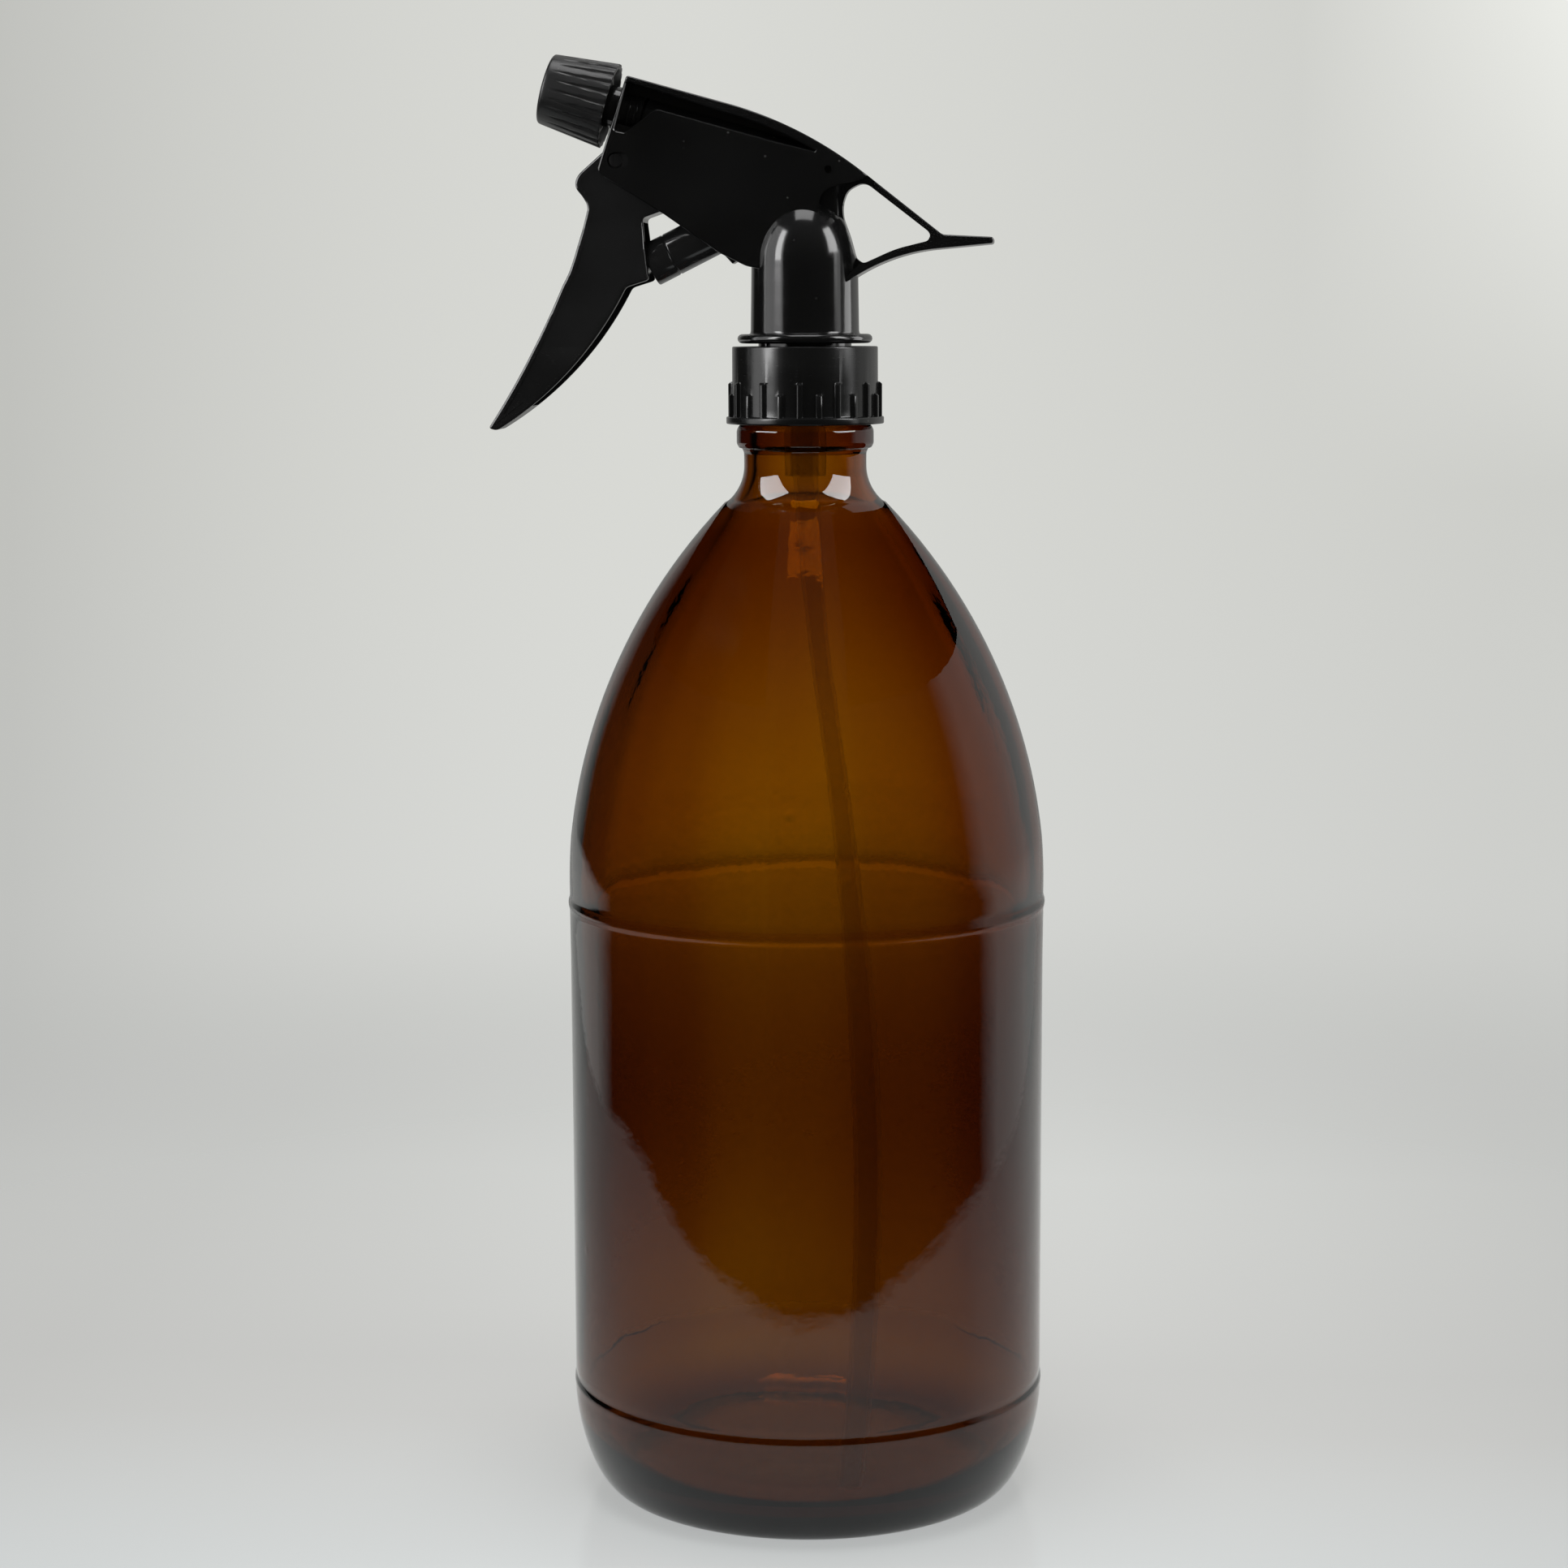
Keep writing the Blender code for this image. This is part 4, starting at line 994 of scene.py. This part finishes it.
def floor():
    """Disc that fades out with distance; mirror reflections see only the table's own extent."""
    bm = bmesh.new()
    middle = bm.verts.new((0.0, 0.0, 0.0))
    rings = []
    for radius in (0.05, 0.1, 0.2, 0.4, 0.8, 1.4):
        rings.append([bm.verts.new((radius * cos(a), radius * sin(a), 0.0)) for a in even_angles(64)])
    for i in range(64):
        bm.faces.new((middle, rings[0][i], rings[0][(i + 1) % 64]))
        for low, high in zip(rings, rings[1:]):
            bm.faces.new((low[i], high[i], high[(i + 1) % 64], low[(i + 1) % 64]))
    mesh = bpy.data.meshes.new("floor")
    bm.to_mesh(mesh)
    bm.free()
    obj = bpy.data.objects.new("floor", mesh)
    obj.location.z = -0.00005
    bpy.context.scene.collection.objects.link(obj)
    mat, tree, where, shader, output = new_material("floor")
    axes = tree.add("SeparateXYZ", Vector=where)
    x, y = axes.outputs[0], axes.outputs[1]
    aside = tree.maths("ABSOLUTE", x)
    # Painted light on the floor: lighter and cooler towards the front, and a lighter patch behind the
    # bottle that fades towards the sides.
    lit_patch_behind = tree.times(tree.ramp(y, 0.07, 0.24), tree.ramp(aside, 0.05, 0.40, 1.0, 0.35))
    tone = tree.mix(tree.ramp(y, 0.03, -0.11), (0.50, 0.503, 0.492, 1), (0.56, 0.59, 0.595, 1))
    tone = tree.mix(lit_patch_behind, tone, (0.60, 0.61, 0.595, 1))
    rays = tree.add("LightPath")
    through = rays.outputs["Is Transmission Ray"]
    # Painted shade: the floor's colour is darker where it is seen through the glass.
    share = tree.ramp(through, 0.0, 1.0, FLOOR_SHARE, 0.55 * FLOOR_SHARE)
    # Painted light: the floor is brighter in the middle than at the sides.
    level = tree.times(tree.ramp(aside, 0.06, 0.18, 1.18, 1.06), share)
    tree.fill(
        shader,
        Base_Color=tree.scaled(tone, level),
        Roughness=tree.ramp(tree.noise(where, 9.0), 0.3, 0.7, 0.10, 0.16),
        IOR=1.4,
    )
    far = tree.add("VectorMath", set_operation="LENGTH", i0=where).outputs["Value"]
    bounced = tree.ramp(far, BOUNCE_FADE[1], BOUNCE_FADE[0])
    direct = tree.ramp(far, VIEW_FADE[1], VIEW_FADE[0], curve="SMOOTHERSTEP")
    across = tree.maths("DIVIDE", tree.maths("SUBTRACT", x, TABLE_MIDDLE[0]), TABLE_REACH[0])
    ahead = tree.maths("DIVIDE", tree.maths("SUBTRACT", y, TABLE_MIDDLE[1]), TABLE_REACH[1])
    ahead = tree.maths("MINIMUM", ahead, 0.0)
    spread = tree.total(tree.times(across, across), tree.times(ahead, ahead))
    cover = tree.blend(rays.outputs["Is Camera Ray"], bounced, direct)
    cover = tree.blend(rays.outputs["Is Reflection Ray"], cover, tree.ramp(spread, 1.08, 0.94))
    clear = tree.add("BsdfTransparent")
    tree.put(output.inputs["Surface"], tree.add("MixShader", i0=cover, i1=clear, i2=shader))
    obj.data.materials.append(mat)
    return obj


def backdrop():
    """Pale all round; mirror reflections and sharply bent light see a darker room in front."""
    world = bpy.data.worlds.new("backdrop")
    bpy.context.scene.world = world
    world.use_nodes = True
    tree = Tree(world.node_tree)
    axes = tree.add("SeparateXYZ", Vector=tree.add("TexCoord").outputs["Generated"])
    x, y, z = axes.outputs[0], axes.outputs[1], axes.outputs[2]
    rays = tree.add("LightPath")
    scattered = rays.outputs["Is Diffuse Ray"]
    left = tree.maths("MINIMUM", tree.total(x, 0.10), 0.0)
    level = tree.maths("SUBTRACT", 0.69, tree.times(tree.times(left, left), 4.0))
    level = tree.maths("MAXIMUM", level, 0.53)
    level = tree.maths("SUBTRACT", level, tree.ramp(x, -0.10, 0.13, 0.0, 0.075))
    glow = tree.times(tree.ramp(x, 0.07, 0.17), tree.ramp(z, -0.05, 0.09))
    level = tree.total(level, tree.times(glow, 0.30))
    pale = tree.mix(tree.ramp(z, -0.35, -0.05), (1.0, 1.015, 1.0, 1), (1.0, 1.008, 0.962, 1))
    pale = tree.scaled(tree.scaled(pale, level), tree.ramp(scattered, 0.0, 1.0, 1.0, 0.5))
    left_edge = tree.ramp(z, *FRONT_EDGE, 0.24, 0.68)
    right_edge = tree.ramp(z, *FRONT_EDGE, 0.10, -0.06)
    edge = tree.ramp(x, -0.5, 0.5, left_edge, right_edge)
    rear = tree.ramp(tree.maths("SUBTRACT", y, edge), 0.0, 0.22)
    rear = tree.times(rear, tree.ramp(z, *FRONT_EDGE, 1.0, 0.80))
    room = tree.mix(tree.ramp(z, 0.45, 0.95), (0.013, 0.012, 0.010, 1), (0.05, 0.05, 0.052, 1))
    wall = tree.mix(tree.ramp(y, 0.70, 0.95), (0.68, 0.68, 0.66, 1), (0.40, 0.40, 0.385, 1))
    mirror = tree.maths("SUBTRACT", rays.outputs["Is Reflection Ray"], scattered, clamp=True)
    through = tree.times(rays.outputs["Is Transmission Ray"], tree.ramp(y, 0.86, 0.60))
    view = tree.mix(tree.maths("MAXIMUM", mirror, through), pale, tree.mix(rear, room, wall))
    tree.put(world.node_tree.nodes["Background"].inputs["Color"], view)


def softbox(name, spot, target, width, height, radiance, seen_by=(), only=(), shaded_by=()):
    """Rectangular light; only lists the objects it lights, shaded_by those that cast its shadows."""
    light = bpy.data.lights.new(name, "AREA")
    light.shape = "RECTANGLE"
    light.size, light.size_y = width, height
    light.energy = radiance * pi * width * height
    obj = bpy.data.objects.new(name, light)
    obj.location = spot
    obj.rotation_euler = (Vector(target) - obj.location).to_track_quat("-Z", "Y").to_euler()
    obj.visible_camera = False
    obj.visible_transmission = "transmission" in seen_by
    obj.visible_diffuse = "diffuse" in seen_by
    obj.visible_glossy = "glossy" in seen_by
    for role, linked in (("receiver", only), ("blocker", shaded_by)):
        if linked:
            group = bpy.data.collections.new(name + "_" + role)
            for piece in linked:
                group.objects.link(piece)
            setattr(obj.light_linking, role + "_collection", group)
    bpy.context.scene.collection.objects.link(obj)
    return obj


def rig_spot(azimuth, elevation, distance, height):
    """Place for a light, by its angles from the camera's side of the bottle."""
    turn = radians(azimuth + CAMERA_TURN)
    level = distance * cos(radians(elevation))
    return (level * sin(turn), -level * cos(turn), height + distance * sin(radians(elevation)))


def flag_card(side):
    """Black card beside the neck that keeps its light off the shoulder; only reflections see it."""
    bm = bmesh.new()
    rings = []
    for radius in (0.0172, 0.090):
        spots = [rig_spot(side * azimuth, 0.0, radius, 0.1996) for azimuth in range(20, 111, 6)]
        rings.append([bm.verts.new(spot) for spot in spots])
    for inner, outer, next_outer, next_inner in zip(rings[0], rings[1], rings[1][1:], rings[0][1:]):
        bm.faces.new((inner, outer, next_outer, next_inner))
    mesh = bpy.data.meshes.new("flag_card")
    bm.to_mesh(mesh)
    bm.free()
    card = bpy.data.objects.new("flag_card", mesh)
    bpy.context.scene.collection.objects.link(card)
    mat, tree, where, shader, _ = new_material("flag_cloth")
    weave = tree.noise(where, 900.0)
    cloth = tree.mix(weave, (0.003, 0.003, 0.003, 1), (0.008, 0.008, 0.008, 1))
    tree.fill(
        shader,
        Base_Color=cloth,
        Roughness=1.0,
        Specular_IOR_Level=0.0,
    )
    mesh.materials.append(mat)
    card.visible_camera = False
    card.visible_diffuse = False
    card.visible_transmission = False
    card.visible_shadow = False
    return card


def camera():
    """Camera of a 36 mm sensor: turned, pitched down and rolled a little."""
    turn, pitch, roll = radians(CAMERA_TURN), radians(7.89), radians(0.215)
    back, aside, height = 0.663, 0.00442, 0.2339
    data = bpy.data.cameras.new("camera")
    data.sensor_width = 36.0
    data.lens = 77.2
    obj = bpy.data.objects.new("camera", data)
    right = Vector((cos(turn), sin(turn), 0.0))
    ahead = Vector((-sin(turn), cos(turn), 0.0))
    obj.location = -right * aside - ahead * back + Vector((0.0, 0.0, height))
    look = ahead * cos(pitch) - Vector((0.0, 0.0, sin(pitch)))
    up = right.cross(look)
    side = right * cos(roll) - up * sin(roll)
    obj.rotation_mode = "QUATERNION"
    obj.rotation_quaternion = Matrix((side, side.cross(look), -look)).transposed().to_quaternion()
    bpy.context.scene.collection.objects.link(obj)
    bpy.context.scene.camera = obj


# ---------------------------------------------------------------- scene

def dress_inner_nodes(finishes):
    """The hidden pump parts keep their CAD shape and get real finishes."""
    for name, mat in finishes.items():
        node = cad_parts[name]
        node.data.materials.clear()
        node.data.materials.append(mat)
        node.data.shade_smooth()
        node.data.set_sharp_from_angle(angle=radians(35.0))


bpy.context.scene.view_settings.view_transform = "Standard"
camera()
backdrop()
table = floor()
overhead = ((0.0, -0.05, 1.1), (0.0, 0.02, 0.0), 0.5, 0.5)
softbox("top_panel", *overhead, 13.0, ("diffuse", "transmission"))

black = moulded_plastic("black_plastic", (0.0068, 0.0068, 0.0069), 0.10, collar_rough=0.10)
nozzle_black = moulded_plastic("nozzle_plastic", (0.0110, 0.0110, 0.0114), 0.3, 0.7)
natural = milky_plastic("natural_plastic", (0.94, 0.94, 0.92), 0.85, 1.08)
rubber = soft_rubber()
steel = drawn_steel()
bottle = glass_bottle(amber_glass())
dip_tube(milky_plastic("tube_plastic", (0.97, 0.95, 0.92), 0.9, 1.03))
black_pieces = [
    screw_collar(black), nozzle_cap(nozzle_black), sprayer_body(black), trigger_lever(black), piston(black),
]
body, trigger_and_piston = black_pieces[2:3], black_pieces[3:]

side_lights = [("rim_light", 104.0, 0.30, 3.2, body), ("edge_light", 98.0, 0.40, 6.0, trigger_and_piston)]
cards = []
for side in (-1, 1):
    neck_spot = rig_spot(side * 68.0, 36.0, 0.125, 0.202)
    softbox("neck_light", neck_spot, (0.0, -0.012, 0.202), 0.09, 0.10, 9.0, ("glossy",), [bottle])
    for name, azimuth, width, radiance, lit in side_lights:
        spot = rig_spot(side * azimuth, 5.0, 0.75, 0.25)
        softbox(name, spot, (0.0, 0.0, 0.25), width, 0.7, radiance, ("glossy",), lit)
    cards.append(flag_card(side))
softbox("floor_fill", *overhead, FLOOR_LIGHT * (1 / FLOOR_SHARE - 1), ("diffuse",), [table], cards)

upright_lights = [              # azimuth, width, bottom, top and radiance
    ("left_bank", -70.0, 0.50, 0.08, 0.90, 2.0), ("left_core", -60.0, 0.16, 0.28, 0.85, 10.0),
    ("right_core", 66.0, 0.26, 0.38, 0.90, 9.0), ("right_low", 69.0, 0.08, 0.26, 0.40, 3.0),
    ("right_bank", 77.0, 0.11, 0.05, 0.40, 1.6),
]
for name, azimuth, width, low, high, radiance in upright_lights:
    middle = (low + high) / 2
    spot = rig_spot(azimuth, 0.0, 0.64, middle)
    softbox(name, spot, (0.0, 0.0, middle), width, high - low, radiance, ("glossy",), black_pieces)
fill_spot = rig_spot(-25.0, 10.0, 0.70, 0.25)
softbox("trigger_fill", fill_spot, (-0.03, 0.0, 0.23), 0.30, 0.30, 9.0, ("diffuse",), trigger_and_piston)
softbox("top_strip", (0.0, -0.05, 1.05), (0.0, 0.0, 0.25), 0.45, 0.45, 4.0, ("glossy",), black_pieces[1:])

dress_inner_nodes({
    "neck_gasket": rubber, "nozzle_gasket": rubber, "spigot_o_ring": rubber,
    "inlet_stem": natural, "piston_seal": natural, "swirl_core": natural,
    "inlet_ball": steel, "outlet_ball": steel, "return_spring": steel, "outlet_spring": steel,
})
